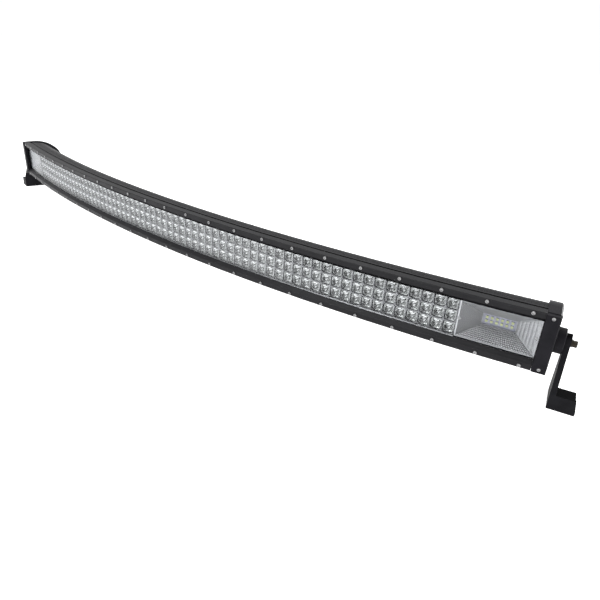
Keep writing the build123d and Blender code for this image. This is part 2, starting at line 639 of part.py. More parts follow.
END_BEZEL_HALF = 38.2
END_BEZEL_CHAMFER = 1.2
SCREW_SINK_MARGIN = 0.5
plate_front = end_facing(CAP_WIDTH / 2)
with BuildPart() as end_bezel:
    with Locations(end_facing(CAP_WIDTH / 2, -BEZEL_PROUD)):
        Box(CAP_WIDTH, 2 * END_BEZEL_HALF, END_BEZEL_BACK + BEZEL_PROUD, align=CENTRE_BACK)
    upright_edges = end_bezel.edges().filter_by(Axis.Z).sort_by(Axis.Y)[:2]
    chamfer(upright_edges, END_BEZEL_CHAMFER)
    with Locations(plate_front):
        with GridLocations(0, 2 * CAP_SCREW_ROW, 1, 2):
            Cylinder(RAIL_HOLE_RADIUS, THROUGH, mode=Mode.SUBTRACT)
            Cylinder(
                SCREW_HEAD_RADIUS + SCREW_SINK_MARGIN,
                2 * BEZEL_PROUD,
                align=CENTRE_FRONT,
                mode=Mode.SUBTRACT,
            )
write_pair(end_bezel, "end_bezel")

with BuildPart() as end_bezel_screws:
    with Locations(plate_front):
        with GridLocations(0, 2 * CAP_SCREW_ROW, 1, 2):
            add(small_screw.part)
write_pair(end_bezel_screws, "end_bezel_screws")

GASKET_INSET = 0.8
GASKET_WIDTH = 3.0
GASKET_STEP = 0.2                  # behind the housing's front edge
GASKET_SHOULDER = GROOVE_HALF - 0.4
GASKET_PLAY = 0.1                  # on each side of the gasket
GASKET_EYE_RADIUS = 2.2
cap_gap = CAP_SKIRT - (HOUSING_END - WINDOW_END)
with BuildPart() as end_cap_gasket:
    with BuildSketch(end_section(HOUSING_END - WINDOW_END + GASKET_PLAY)):
        with BuildLine():
            d_outline(
                HOUSING_FRONT + GASKET_STEP,
                GASKET_SHOULDER,
                CREST_HALF - GASKET_INSET,
                BACK_REACH - GASKET_INSET,
            )
        make_face()
        with BuildLine(mode=Mode.PRIVATE) as inner_line:
            d_outline(
                HOUSING_FRONT + GASKET_WIDTH,
                GASKET_SHOULDER - GASKET_WIDTH,
                CREST_HALF - GASKET_INSET - GASKET_WIDTH,
                BACK_REACH - GASKET_INSET - GASKET_WIDTH,
            )
        make_face(inner_line.edges(), mode=Mode.SUBTRACT)
        with Locations([place for place in SIDE_SCREWS if place[0] < CREST_DEPTH]):
            Circle(SIDE_BOSS_RADIUS)
            Circle(GASKET_EYE_RADIUS, mode=Mode.SUBTRACT)
    extrude(amount=cap_gap - 2 * GASKET_PLAY)
write_pair(end_cap_gasket, "end_cap_gasket")

SIDE_SCREW_HEAD_RADIUS = 3.6
SIDE_SCREW_HEAD_HEIGHT = 2.2
SIDE_SCREW_SOCKET_RADIUS = 1.7
SIDE_SCREW_SOCKET_DEPTH = 1.4
SIDE_SCREW_RADIUS = 1.6
SIDE_SCREW_LENGTH = 19.0
SIDE_SCREW_SUNK = 0.1              # below the cap's face

with BuildPart() as side_screw:
    Cylinder(SIDE_SCREW_HEAD_RADIUS, SIDE_SCREW_HEAD_HEIGHT, align=CENTRE_BACK)
    with BuildSketch():
        RegularPolygon(SIDE_SCREW_SOCKET_RADIUS, 6)
    extrude(amount=-SIDE_SCREW_SOCKET_DEPTH, mode=Mode.SUBTRACT)
    with Locations((0, 0, -SIDE_SCREW_HEAD_HEIGHT)):
        Cylinder(SIDE_SCREW_RADIUS, SIDE_SCREW_LENGTH, align=CENTRE_BACK)

with BuildPart() as end_cap_screws:
    with Locations([end_section(CAP_WIDTH - SIDE_SCREW_SUNK) * Pos(d, h, 0) for d, h in SIDE_SCREWS]):
        add(side_screw.part)
write_pair(end_cap_screws, "end_cap_screws")

# ======================================================================================================
# Pivot: spacer, bracket, bolt and washers
# ======================================================================================================
pivot_face = end_section(CAP_WIDTH) * Pos(PIVOT_DEPTH, 0, 0)
SPACER_CHAMFER = 0.8

with BuildPart() as pivot_spacer:
    with Locations(pivot_face):
        Cylinder(SPACER_RADIUS, SPACER_LENGTH, align=CENTRE_FRONT)
    chamfer(pivot_spacer.edges().filter_by(GeomType.CIRCLE), SPACER_CHAMFER)
    with Locations(pivot_face):
        Cylinder(BOLT_RADIUS + BOLT_RUNNING_CLEARANCE, THROUGH, mode=Mode.SUBTRACT)
write_pair(pivot_spacer, "pivot_spacer")

ARM_BACK_STEP = 4.0                # height of the arm's back corner above the foot plate
FOOT_EDGE_ROUND = 0.6
arm_plane = end_section(CAP_WIDTH + ARM_INNER)

with BuildPart() as bracket:
    # arm: a plate that widens from the round pivot end down to the foot
    with BuildSketch(arm_plane):
        with Locations((PIVOT_DEPTH, 0)):
            Circle(ARM_TOP_RADIUS)
        with BuildLine():
            Polyline(
                (PIVOT_DEPTH - ARM_TOP_RADIUS, 0),
                (FOOT_FRONT, -FOOT_DROP + LIP_HEIGHT),
                (FOOT_FRONT, -FOOT_DROP),
                (FOOT_BACK, -FOOT_DROP),
                (FOOT_BACK, -FOOT_DROP + FOOT_THICKNESS + ARM_BACK_STEP),
                (PIVOT_DEPTH + ARM_TOP_RADIUS, 0),
                close=True,
            )
        make_face()
    extrude(amount=ARM_THICKNESS)
    # foot plate
    with BuildSketch(arm_plane):
        with Locations(((FOOT_FRONT + FOOT_BACK) / 2, -FOOT_DROP + FOOT_THICKNESS / 2)):
            Rectangle(FOOT_BACK - FOOT_FRONT, FOOT_THICKNESS)
    extrude(amount=FOOT_LENGTH)
    # upturned lip along the front of the foot
    with BuildSketch(end_facing(CAP_WIDTH + ARM_INNER, FOOT_FRONT, -FOOT_DROP)):
        with BuildLine():
            Polyline(
                (0, 0),
                (FOOT_LENGTH, 0),
                (FOOT_LENGTH, FOOT_THICKNESS),
                (LIP_TOP_LENGTH, LIP_HEIGHT),
                (0, LIP_HEIGHT),
                close=True,
            )
        make_face()
    extrude(amount=-LIP_THICKNESS)
    fillet(bracket.faces().sort_by(Axis.Z)[0].edges(), FOOT_EDGE_ROUND)
    # bolt holes
    with Locations(arm_plane * Pos(PIVOT_DEPTH, 0, 0)):
        Cylinder(BOLT_RADIUS + BOLT_RUNNING_CLEARANCE, THROUGH, mode=Mode.SUBTRACT)
    foot_hole = arm_plane.from_local_coords((FOOT_HOLE_DEPTH, -FOOT_DROP, FOOT_HOLE_OUT))
    with Locations(foot_hole):
        Cylinder(FOOT_HOLE_RADIUS, 4 * FOOT_THICKNESS, mode=Mode.SUBTRACT)
write_pair(bracket, "bracket")

WASHER_THICKNESS = 1.0
LOCK_WASHER_THICKNESS = 1.2
BOLT_HEAD_RADIUS = 4.25
BOLT_HEAD_HEIGHT = 5.0
BOLT_HEAD_CHAMFER = 0.5
BOLT_SOCKET_RADIUS = 2.3
BOLT_SOCKET_DEPTH = 2.6
BOLT_BITE = 11.0                   # length that goes into the end cap
WASHER_RADIUS = 5.0
WASHER_PLAY = 0.15
LOCK_WASHER_RADIUS = 4.4
LOCK_WASHER_PLAY = 0.1
LOCK_WASHER_SLOT = 0.7
washer_base = ARM_OUTER + ARM_CLEARANCE
lock_washer_base = washer_base + WASHER_THICKNESS + CONTACT_GAP
bolt_head_base = lock_washer_base + LOCK_WASHER_THICKNESS + CONTACT_GAP

with BuildPart() as pivot_washer:
    with Locations(pivot_face * Pos(0, 0, washer_base)):
        Cylinder(WASHER_RADIUS, WASHER_THICKNESS, align=CENTRE_FRONT)
        Cylinder(BOLT_RADIUS + WASHER_PLAY, THROUGH, mode=Mode.SUBTRACT)
write_pair(pivot_washer, "pivot_washer")

with BuildPart() as pivot_lock_washer:
    with Locations(pivot_face * Pos(0, 0, lock_washer_base)):
        Cylinder(LOCK_WASHER_RADIUS, LOCK_WASHER_THICKNESS, align=CENTRE_FRONT)
        Cylinder(BOLT_RADIUS + LOCK_WASHER_PLAY, THROUGH, mode=Mode.SUBTRACT)
        with Locations((0, LOCK_WASHER_RADIUS, 0)):
            Box(LOCK_WASHER_SLOT, LOCK_WASHER_RADIUS, 3 * LOCK_WASHER_THICKNESS, mode=Mode.SUBTRACT)
write_pair(pivot_lock_washer, "pivot_lock_washer")

with BuildPart() as pivot_bolt:
    with Locations(pivot_face * Pos(0, 0, bolt_head_base)):
        Cylinder(BOLT_HEAD_RADIUS, BOLT_HEAD_HEIGHT, align=CENTRE_FRONT)
        Cylinder(BOLT_RADIUS, bolt_head_base + BOLT_BITE, align=CENTRE_BACK)
    outer_rim = pivot_bolt.edges().filter_by(GeomType.CIRCLE).sort_by(Axis.X)[-1]
    chamfer(outer_rim, BOLT_HEAD_CHAMFER)
    with BuildSketch(pivot_face * Pos(0, 0, bolt_head_base + BOLT_HEAD_HEIGHT)):
        RegularPolygon(BOLT_SOCKET_RADIUS, 6)
    extrude(amount=-BOLT_SOCKET_DEPTH, mode=Mode.SUBTRACT)
write_pair(pivot_bolt, "pivot_bolt")

# ======================================================================================================
# Cable gland, breather, power cable and plug at the back
# ======================================================================================================
BACKWARD = Rot(180, 0, 0)          # turns a forward-facing plane so that its z runs out of the back
GLAND_SHANK_RADIUS = 6.0
GLAND_SHANK_LENGTH = 5.4
GLAND_NECK_RADIUS = 5.4
GLAND_NECK_LENGTH = 13.0
GLAND_HEX_RADIUS = 8.6             # to the flats
GLAND_HEX_HEIGHT = 5.0
NUT_HEX_RADIUS = 8.0
NUT_HEX_HEIGHT = 9.0
NUT_DOME_RADII = (7.4, 5.0)
NUT_DOME_HEIGHT = 5.0
NUT_PLAY = 0.2                     # between the nut and the gland's hexagon and end
THREAD_PLAY = 0.1
CABLE_PLAY = 0.05
nut_base = GLAND_HEX_HEIGHT + NUT_PLAY
gland_place = facing(GLAND_POSITION, REAR_CHANNEL_SEAT) * BACKWARD

with BuildPart() as cable_gland:
    with Locations(gland_place):
        Cylinder(GLAND_SHANK_RADIUS, GLAND_SHANK_LENGTH, align=CENTRE_BACK)
        Cylinder(GLAND_NECK_RADIUS, GLAND_NECK_LENGTH, align=CENTRE_FRONT)
    with BuildSketch(gland_place):
        RegularPolygon(GLAND_HEX_RADIUS, 6, major_radius=False)
    extrude(amount=GLAND_HEX_HEIGHT)
    with Locations(gland_place):
        Cylinder(CABLE_RADIUS + CABLE_PLAY, 2 * THROUGH, mode=Mode.SUBTRACT)
write(cable_gland, "cable_gland")

with BuildPart() as gland_nut:
    with BuildSketch(gland_place * Pos(0, 0, nut_base)):
        RegularPolygon(NUT_HEX_RADIUS, 6, major_radius=False)
    extrude(amount=NUT_HEX_HEIGHT)
    with Locations(gland_place * Pos(0, 0, nut_base + NUT_HEX_HEIGHT)):
        Cone(*NUT_DOME_RADII, NUT_DOME_HEIGHT, align=CENTRE_FRONT)
    with Locations(gland_place):
        Cylinder(
            GLAND_NECK_RADIUS + THREAD_PLAY,
            GLAND_NECK_LENGTH + NUT_PLAY,
            align=CENTRE_FRONT,
            mode=Mode.SUBTRACT,
        )
        Cylinder(CABLE_RADIUS + CABLE_PLAY, 2 * THROUGH, mode=Mode.SUBTRACT)
write(gland_nut, "gland_nut")

BREATHER_STEM = (3.0, 4.5)         # radius, length
BREATHER_FLANGE = (6.5, 3.5)
BREATHER_CROWN = (5.2, 5.5)

with BuildPart() as breather_valve:
    with Locations(facing(BREATHER_POSITION, REAR_CHANNEL_SEAT) * BACKWARD):
        Cylinder(*BREATHER_STEM, align=CENTRE_BACK)
        Cylinder(*BREATHER_FLANGE, align=CENTRE_FRONT)
        Cylinder(*BREATHER_CROWN, align=CENTRE_FRONT)
write(breather_valve, "breather_valve")

# the cable leaves the gland straight back, then bends down and along the bar towards its middle
cable_start = arc_point(GLAND_POSITION, 44)
cable_exit = arc_point(GLAND_POSITION, 86)
cable_bend = arc_point(GLAND_POSITION + 34, 102, -16)
cable_run = arc_point(GLAND_POSITION + 100, 98, -36)
cable_tip = arc_point(GLAND_POSITION + 160, 94, -40)
gland_angle = arc_angle(GLAND_POSITION)
backward = Vector(-sin(gland_angle), cos(gland_angle), 0)
along = (cable_tip - cable_run).normalized()

with BuildPart() as power_cable:
    with BuildLine() as cable_path:
        Line(cable_start, cable_exit)
        Spline(cable_exit, cable_bend, cable_run, cable_tip, tangents=(backward, along))
    with BuildSketch(Plane(origin=cable_start, z_dir=backward)):
        Circle(CABLE_RADIUS)
    sweep(path=cable_path.line, transition=Transition.ROUND)
write(power_cable, "power_cable")

PLUG_GAP = 0.3                     # between the cable's end and the plug
PLUG_BODY = (15.0, 11.0)
PLUG_BODY_ROUND = 2.0
PLUG_BODY_LENGTH = 30.0
PLUG_COLLAR = (19.0, 15.0)
PLUG_COLLAR_ROUND = 3.0
PLUG_COLLAR_START = 18.0
PLUG_COLLAR_LENGTH = 14.0
PLUG_MOUTH_START = 24.0
TERMINAL_RADIUS = 0.8
TERMINAL_LENGTH = 7.0
TERMINAL_SPACING = 6.0
plug_place = Plane(origin=cable_tip, z_dir=along, x_dir=along.cross(Vector(0, 0, 1))).offset(PLUG_GAP)

with BuildPart() as plug_housing:
    with BuildSketch(plug_place):
        RectangleRounded(*PLUG_BODY, PLUG_BODY_ROUND)
    extrude(amount=PLUG_BODY_LENGTH)
    with BuildSketch(plug_place.offset(PLUG_COLLAR_START)):
        RectangleRounded(*PLUG_COLLAR, PLUG_COLLAR_ROUND)
    extrude(amount=PLUG_COLLAR_LENGTH)
    with BuildSketch(plug_place.offset(PLUG_MOUTH_START)):
        RectangleRounded(*PLUG_BODY, PLUG_BODY_ROUND)
    extrude(amount=PLUG_COLLAR_LENGTH, mode=Mode.SUBTRACT)
write(plug_housing, "plug_housing")

with BuildPart() as plug_terminals:
    with Locations(plug_place.offset(PLUG_MOUTH_START + CONTACT_GAP)):
        with GridLocations(TERMINAL_SPACING, 0, 2, 1):
            Cylinder(TERMINAL_RADIUS, TERMINAL_LENGTH, align=CENTRE_FRONT)
write(plug_terminals, "plug_terminals")
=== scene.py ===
import json
import math

import bpy
import numpy as np
from mathutils import Matrix, Vector


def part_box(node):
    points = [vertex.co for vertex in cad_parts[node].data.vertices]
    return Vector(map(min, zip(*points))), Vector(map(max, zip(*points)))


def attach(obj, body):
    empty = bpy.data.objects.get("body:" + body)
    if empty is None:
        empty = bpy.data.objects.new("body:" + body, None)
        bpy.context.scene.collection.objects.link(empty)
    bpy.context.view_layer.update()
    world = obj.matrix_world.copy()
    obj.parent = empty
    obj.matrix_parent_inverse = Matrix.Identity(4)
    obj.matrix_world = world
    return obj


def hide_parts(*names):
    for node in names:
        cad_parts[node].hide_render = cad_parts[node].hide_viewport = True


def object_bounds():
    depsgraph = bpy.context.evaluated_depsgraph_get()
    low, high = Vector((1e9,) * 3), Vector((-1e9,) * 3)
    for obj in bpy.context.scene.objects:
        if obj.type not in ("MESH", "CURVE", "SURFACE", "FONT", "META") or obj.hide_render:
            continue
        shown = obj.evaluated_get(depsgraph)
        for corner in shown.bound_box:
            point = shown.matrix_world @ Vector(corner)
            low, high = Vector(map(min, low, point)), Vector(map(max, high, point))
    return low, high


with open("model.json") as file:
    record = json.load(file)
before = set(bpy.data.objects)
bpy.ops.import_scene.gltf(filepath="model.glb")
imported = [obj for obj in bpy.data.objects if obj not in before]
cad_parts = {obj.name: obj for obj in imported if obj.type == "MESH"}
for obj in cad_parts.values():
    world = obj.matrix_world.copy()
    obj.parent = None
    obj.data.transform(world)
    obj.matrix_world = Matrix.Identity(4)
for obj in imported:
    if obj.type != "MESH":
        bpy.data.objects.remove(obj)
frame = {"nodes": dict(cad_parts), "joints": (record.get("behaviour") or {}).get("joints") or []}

MM = 0.001
cad_low, cad_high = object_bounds()

# ---- driving dimensions, in millimetres, the same as in the CAD source ----
FRONT_RADIUS = 2940.0
WINDOW_END = 643.5
LENS_FRONT = 5.5
SPOT_MODULES = 11
CELL_COLUMNS = 6
CELL_ROWS = 3
CELL_WIDTH = 16.42
CELL_HEIGHT = 16.87
MODULE_PITCH = 99.18
FLOOD_CENTRE = (SPOT_MODULES * MODULE_PITCH / 2 + WINDOW_END) / 2
FLOOD_LENGTH = 96.6
FLOOD_FRONT = 9.7
FLOOD_FLOOR_DEPTH = 28.2
FLOOD_CHIP_COLUMNS = 6
FLOOD_CHIP_ROWS = 2
FLOOD_CHIP_SPACING = (6.2, 5.4)

# ---- places in the row frame, worked out from the frame ----
AXIS_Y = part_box("front_lens")[0].y / MM + FRONT_RADIUS - LENS_FRONT
MIDDLE_Z = frame["joints"][0]["pos_m"][2] / MM
SIDES = ((1, "right"), (-1, "left"))


def bar_place(position):
    """Matrix of a module's own frame: x along the bar, y the depth behind the bezel's face, z up."""
    angle = position / FRONT_RADIUS
    back = Vector((-math.sin(angle), math.cos(angle), 0))
    along = Vector((math.cos(angle), math.sin(angle), 0))
    up = Vector((0, 0, 1))
    origin = Vector((0, AXIS_Y, MIDDLE_Z)) - back * FRONT_RADIUS
    turn = Matrix((along, back, up)).transposed().to_4x4()
    return Matrix.Translation(origin * MM) @ turn @ Matrix.Scale(MM, 4)


# ======================================================================================================
# Material helpers
# ======================================================================================================
# sockets of the Mix node that belong to colours
COLOUR_A = 6
COLOUR_B = 7
COLOUR_RESULT = 2
# cosines between the rounded and the true normal where an edge is fully turned and where it ends
EDGE_TURNED = 0.86
EDGE_FLAT = 0.995


class Nodes:
    """Short-hand for building one node material."""

    def __init__(self, name):
        self.material = bpy.data.materials.new(name)
        self.material.use_nodes = True
        self.tree = self.material.node_tree
        self.surface = self.tree.nodes["Principled BSDF"]
        self.output = self.tree.nodes["Material Output"]

    def add(self, kind, **settings):
        """A new node of the given kind, with its own settings."""
        node = self.tree.nodes.new(kind)
        for key, value in settings.items():
            setattr(node, key, value)
        return node

    def link(self, source, target):
        """Links an output to an input."""
        self.tree.links.new(source, target)

    def feed(self, socket, value):
        """Sets a socket from a number, a colour or another node's output."""
        if isinstance(value, bpy.types.NodeSocket):
            self.link(value, socket)
        elif isinstance(value, tuple) and len(value) == 3 and socket.type == "RGBA":
            socket.default_value = (*value, 1)
        else:
            socket.default_value = value

    def set(self, **values):
        """Feeds inputs of the surface shader; an underscore in a name stands for a space."""
        for key, value in values.items():
            self.feed(self.surface.inputs[key.replace("_", " ")], value)

    def math(self, operation, a, b):
        """Result of a calculation with two numbers."""
        node = self.add("ShaderNodeMath", operation=operation)
        self.feed(node.inputs[0], a)
        self.feed(node.inputs[1], b)
        return node.outputs[0]

    def weighted_sum(self, a, share_a, b, share_b):
        """The sum of two values, each multiplied by its share."""
        return self.math("ADD", self.math("MULTIPLY", a, share_a), self.math("MULTIPLY", b, share_b))

    def vector(self, operation, a, b=(0, 0, 0)):
        """Result of a calculation with vectors."""
        node = self.add("ShaderNodeVectorMath", operation=operation)
        self.feed(node.inputs[0], a)
        self.feed(node.inputs[1], b)
        return node.outputs["Value" if operation in ("LENGTH", "DOT_PRODUCT") else "Vector"]

    def point(self):
        """The point in the row frame, in millimetres."""
        node = self.add("ShaderNodeVectorMath", operation="SCALE")
        self.link(self.add("ShaderNodeTexCoord").outputs["Object"], node.inputs[0])
        node.inputs["Scale"].default_value = 1 / MM
        return node.outputs["Vector"]

    def noise(self, where, scale, detail=3.0, roughness=0.55):
        """Cloudy value around a half; a larger scale makes smaller clouds."""
        node = self.add("ShaderNodeTexNoise")
        self.link(where, node.inputs["Vector"])
        node.inputs["Scale"].default_value = scale
        node.inputs["Detail"].default_value = detail
        node.inputs["Roughness"].default_value = roughness
        return node.outputs["Fac"]

    def ramp(self, value, low, high, start=0.0, end=1.0):
        """A value that runs from start to end becomes one that runs from low to high."""
        node = self.add("ShaderNodeMapRange")
        self.feed(node.inputs["Value"], value)
        node.inputs["From Min"].default_value = start
        node.inputs["From Max"].default_value = end
        node.inputs["To Min"].default_value = low
        node.inputs["To Max"].default_value = high
        return node.outputs["Result"]

    def blend(self, amount, a, b):
        """Colour a where the amount is 0 and colour b where it is 1."""
        node = self.add("ShaderNodeMix", data_type="RGBA")
        self.feed(node.inputs["Factor"], amount)
        self.feed(node.inputs[COLOUR_A], a)
        self.feed(node.inputs[COLOUR_B], b)
        return node.outputs[COLOUR_RESULT]

    def split(self, vector):
        """The three parts of a vector."""
        node = self.add("ShaderNodeSeparateXYZ")
        self.link(vector, node.inputs[0])
        return node.outputs

    def join(self, x, y, z=0.0):
        """A vector from its parts."""
        node = self.add("ShaderNodeCombineXYZ")
        for socket, value in zip(node.inputs, (x, y, z)):
            self.feed(socket, value)
        return node.outputs[0]

    def along_bar(self):
        """Coordinates that follow the arc, in millimetres: arc length, distance from its axis, height."""
        x, y, z = self.split(self.vector("SUBTRACT", self.point(), (0, AXIS_Y, 0)))
        radius = self.vector("LENGTH", self.join(x, y))
        angle = self.math("ARCTAN2", x, self.math("MULTIPLY", y, -1.0))
        return self.join(self.math("MULTIPLY", angle, FRONT_RADIUS), radius, z)

    def stretched(self, where, factors):
        """Coordinates multiplied by a factor for each axis; a small factor draws a pattern out."""
        return self.vector("MULTIPLY", where, factors)

    def bump(self, height, distance_mm, strength, normal=None):
        """Normal of a surface with small highs and lows, on top of another normal where one is given."""
        node = self.add("ShaderNodeBump")
        node.inputs["Distance"].default_value = distance_mm * MM
        node.inputs["Strength"].default_value = strength
        self.link(height, node.inputs["Height"])
        if normal is not None:
            self.link(normal, node.inputs["Normal"])
        return node.outputs["Normal"]

    def rounded(self, radius_mm):
        """Normal of edges rounded over the given radius, and a mask that is 1 on those edges."""
        bevel = self.add("ShaderNodeBevel", samples=4)
        bevel.inputs["Radius"].default_value = radius_mm * MM
        true_normal = self.add("ShaderNodeNewGeometry").outputs["True Normal"]
        facing = self.vector("DOT_PRODUCT", bevel.outputs["Normal"], true_normal)
        edge = self.ramp(facing, 1.0, 0.0, EDGE_TURNED, EDGE_FLAT)
        return bevel.outputs["Normal"], edge


# scale of the drawn lines for each axis of along_bar: long along the bar and fine across it
DRAWN_LINES = (0.004, 1.3, 1.3)
# colour, share and shine of the painted shade laid on faces that look up, or down
PAINTED_SHADE = (0.001, 0.001, 0.0012)
PAINTED_SHADE_SHARE = 0.85
PAINTED_SHADE_SHINE = 0.015
# how far up, or down, a face has to look before the painted shade begins, and where it is complete
PAINTED_SHADE_UPWARD = (0.55, 0.9)
PAINTED_SHADE_DOWNWARD = (0.2, 0.7)
# largest share of the lighter edge colour: part wear, part painted highlight
MOST_WEAR_AND_HIGHLIGHT = 0.55


def painted_black(name, dark, light, edge_wear_and_highlight, roughness, grain, edge_radius, shine, streaks=False, painted_shade_facing=0):
    """Black finish on metal: grain, faint cloudiness, lighter edges that are part wear and part painted
    highlight, and drawn lines along the bar.

    Where the last argument is 1 or -1, faces that look up, or down, are darker and less shiny: painted
    shade.
    """
    n = Nodes(name)
    where = n.point()
    clouds = n.noise(where, scale=0.045, detail=4.0)
    fine = n.noise(where, scale=grain, detail=2.0)
    height = n.ramp(fine, 0.0, 1.0)
    tone = clouds
    if streaks:
        lines = n.noise(n.stretched(n.along_bar(), DRAWN_LINES), scale=1.0, detail=4.0, roughness=0.7)
        tone = n.weighted_sum(clouds, 0.45, lines, 0.55)
        height = n.weighted_sum(height, 0.6, lines, 1.4)
    colour = n.blend(n.ramp(tone, 0.0, 1.0, start=0.3, end=0.7), dark, light)
    normal, edge = n.rounded(edge_radius)
    patchy = n.ramp(n.noise(where, scale=0.22, detail=5.0), 0.15, 1.0, start=0.35, end=0.65)
    # lighter edges: part wear, part painted highlight
    wear_and_highlight = n.math("MULTIPLY", n.math("MULTIPLY", edge, patchy), MOST_WEAR_AND_HIGHLIGHT)
    colour = n.blend(wear_and_highlight, colour, edge_wear_and_highlight)
    # painted shade: faces that look up, or down, are made darker and less shiny
    if painted_shade_facing:
        slope = n.split(n.add("ShaderNodeNewGeometry").outputs["Normal"])[2]
        begins, complete = PAINTED_SHADE_UPWARD if painted_shade_facing > 0 else PAINTED_SHADE_DOWNWARD
        amount = n.ramp(n.math("MULTIPLY", slope, painted_shade_facing), 0.0, 1.0, begins, complete)
        colour = n.blend(n.math("MULTIPLY", amount, PAINTED_SHADE_SHARE), colour, PAINTED_SHADE)
        shine = n.ramp(amount, shine, PAINTED_SHADE_SHINE)
    n.set(
        Base_Color=colour,
        Roughness=n.ramp(fine, roughness - 0.08, roughness + 0.1),
        Normal=n.bump(height, distance_mm=0.05, strength=0.5, normal=normal),
        Specular_IOR_Level=shine,
    )
    return n.material


def bright_metal(name, colour, tint, roughness, patchiness):
    """Plated or polished metal, with fine scratches and patchy colour."""
    n = Nodes(name)
    where = n.point()
    patches = n.noise(where, scale=patchiness)
    scratches = n.noise(n.stretched(where, (6.0, 1.2, 1.2)), scale=1.0)
    normal = n.rounded(0.15)[0]
    n.set(
        Base_Color=n.blend(n.ramp(patches, 0.0, 1.0, start=0.35, end=0.65), colour, tint),
        Metallic=1.0,
        Roughness=n.ramp(scratches, roughness * 0.7, roughness * 1.35),
        Normal=n.bump(scratches, distance_mm=0.02, strength=0.4, normal=normal),
    )
    return n.material


def moulded(name, colour, tint, roughness, grain, depth_mm):
    """Moulded plastic or rubber with a fine grain."""
    n = Nodes(name)
    where = n.point()
    fine = n.noise(where, scale=grain)
    clouds = n.noise(where, scale=0.12)
    normal = n.rounded(0.3)[0]
    n.set(
        Base_Color=n.blend(clouds, colour, tint),
        Roughness=n.ramp(fine, roughness - 0.06, roughness + 0.08),
        Normal=n.bump(fine, distance_mm=depth_mm, strength=0.5, normal=normal),
    )
    return n.material


# ======================================================================================================
# Materials
# ======================================================================================================
extruded_black = painted_black(
    "extruded_black",
    dark=(0.006, 0.006, 0.007),
    light=(0.014, 0.014, 0.0155),
    edge_wear_and_highlight=(0.13, 0.13, 0.135),
    roughness=0.44,
    grain=2.2,
    edge_radius=0.35,
    shine=0.10,
    streaks=True,
    # faces that look down get painted shade
    painted_shade_facing=-1,
)
cast_black = painted_black(
    "cast_black",
    dark=(0.004, 0.004, 0.0055),
    light=(0.009, 0.0085, 0.011),
    edge_wear_and_highlight=(0.07, 0.07, 0.075),
    roughness=0.48,
    grain=1.6,
    edge_radius=0.45,
    shine=0.075,
)
powder_black = painted_black(
    "powder_black",
    dark=(0.003, 0.003, 0.004),
    light=(0.007, 0.007, 0.0085),
    edge_wear_and_highlight=(0.07, 0.07, 0.075),
    roughness=0.58,
    grain=1.1,
    edge_radius=0.5,
    shine=0.07,
    # faces that look up get painted shade
    painted_shade_facing=1,
)
# name, colour, tint, roughness, patchiness
steel = bright_metal("steel", (0.26, 0.26, 0.26), (0.17, 0.17, 0.175), 0.26, 0.6)
zinc = bright_metal("zinc", (0.034, 0.030, 0.023), (0.021, 0.019, 0.016), 0.34, 0.5)
brass = bright_metal("brass", (0.66, 0.48, 0.20), (0.50, 0.38, 0.18), 0.25, 0.5)
# name, colour, tint, roughness, grain, depth of the grain
rubber = moulded("rubber", (0.014, 0.014, 0.015), (0.022, 0.022, 0.023), 0.62, 1.4, 0.06)
nylon = moulded("nylon", (0.017, 0.017, 0.018), (0.028, 0.028, 0.030), 0.46, 0.9, 0.06)
white_solder_mask = moulded("white_solder_mask", (0.27, 0.275, 0.345), (0.33, 0.33, 0.40), 0.40, 0.8, 0.02)
pad_grey = moulded("pad_grey", (0.30, 0.32, 0.36), (0.38, 0.40, 0.43), 0.80, 0.7, 0.1)
green_board = moulded("green_board", (0.015, 0.09, 0.035), (0.02, 0.12, 0.05), 0.38, 0.6, 0.03)
red_wire = moulded("red_wire", (0.35, 0.02, 0.015), (0.42, 0.03, 0.02), 0.42, 0.7, 0.02)
# dark finish painted into the pits of the optics as shade
pit_painted_shade = moulded("pit_painted_shade", (0.05, 0.05, 0.055), (0.08, 0.08, 0.085), 0.35, 0.8, 0.03)
led_ceramic = moulded("led_ceramic", (0.30, 0.31, 0.34), (0.37, 0.37, 0.40), 0.45, 0.9, 0.02)


COVER_TINT = (0.965, 0.972, 0.975, 1)
COVER_INDEX = 1.45
COVER_SHINE = 0.2
COVER_MOST_SHINE = 0.06


def clear_cover():
    """Clear polycarbonate: light goes straight through, and the surface keeps a thin reflection."""
    n = Nodes("clear_cover")
    where = n.along_bar()
    smears = n.noise(n.stretched(where, (0.02, 0.3, 0.3)), scale=1.0, detail=4.0)
    through = n.add("ShaderNodeBsdfTransparent")
    through.inputs["Color"].default_value = COVER_TINT
    shine = n.add("ShaderNodeBsdfGlossy")
    n.link(n.ramp(smears, 0.04, 0.13), shine.inputs["Roughness"])
    fresnel = n.add("ShaderNodeFresnel")
    fresnel.inputs["IOR"].default_value = COVER_INDEX
    amount = n.math("MINIMUM", n.math("MULTIPLY", fresnel.outputs[0], COVER_SHINE), COVER_MOST_SHINE)
    mixed = n.add("ShaderNodeMixShader")
    n.link(amount, mixed.inputs[0])
    n.link(through.outputs[0], mixed.inputs[1])
    n.link(shine.outputs[0], mixed.inputs[2])
    n.link(mixed.outputs[0], n.output.inputs["Surface"])
    n.tree.nodes.remove(n.surface)
    return n.material


def crystal(name, colour, tint, roughness, clear, metallic):
    """Clear moulded optic over a mirrored cup: part mirror, part glass, with faint colour fringes."""
    n = Nodes(name)
    where = n.point()
    fringe = n.noise(where, scale=0.16, detail=2.0)
    flow = n.noise(where, scale=0.9)
    n.set(
        Base_Color=n.blend(n.ramp(fringe, 0.0, 1.0, start=0.40, end=0.62), tint, colour),
        Metallic=metallic,
        Roughness=n.ramp(flow, roughness * 0.6, roughness * 1.5),
        IOR=1.49,
        Transmission_Weight=clear,
        Coat_Weight=0.6,
        Coat_Roughness=0.06,
        Normal=n.bump(flow, distance_mm=0.12, strength=0.35),
    )
    return n.material


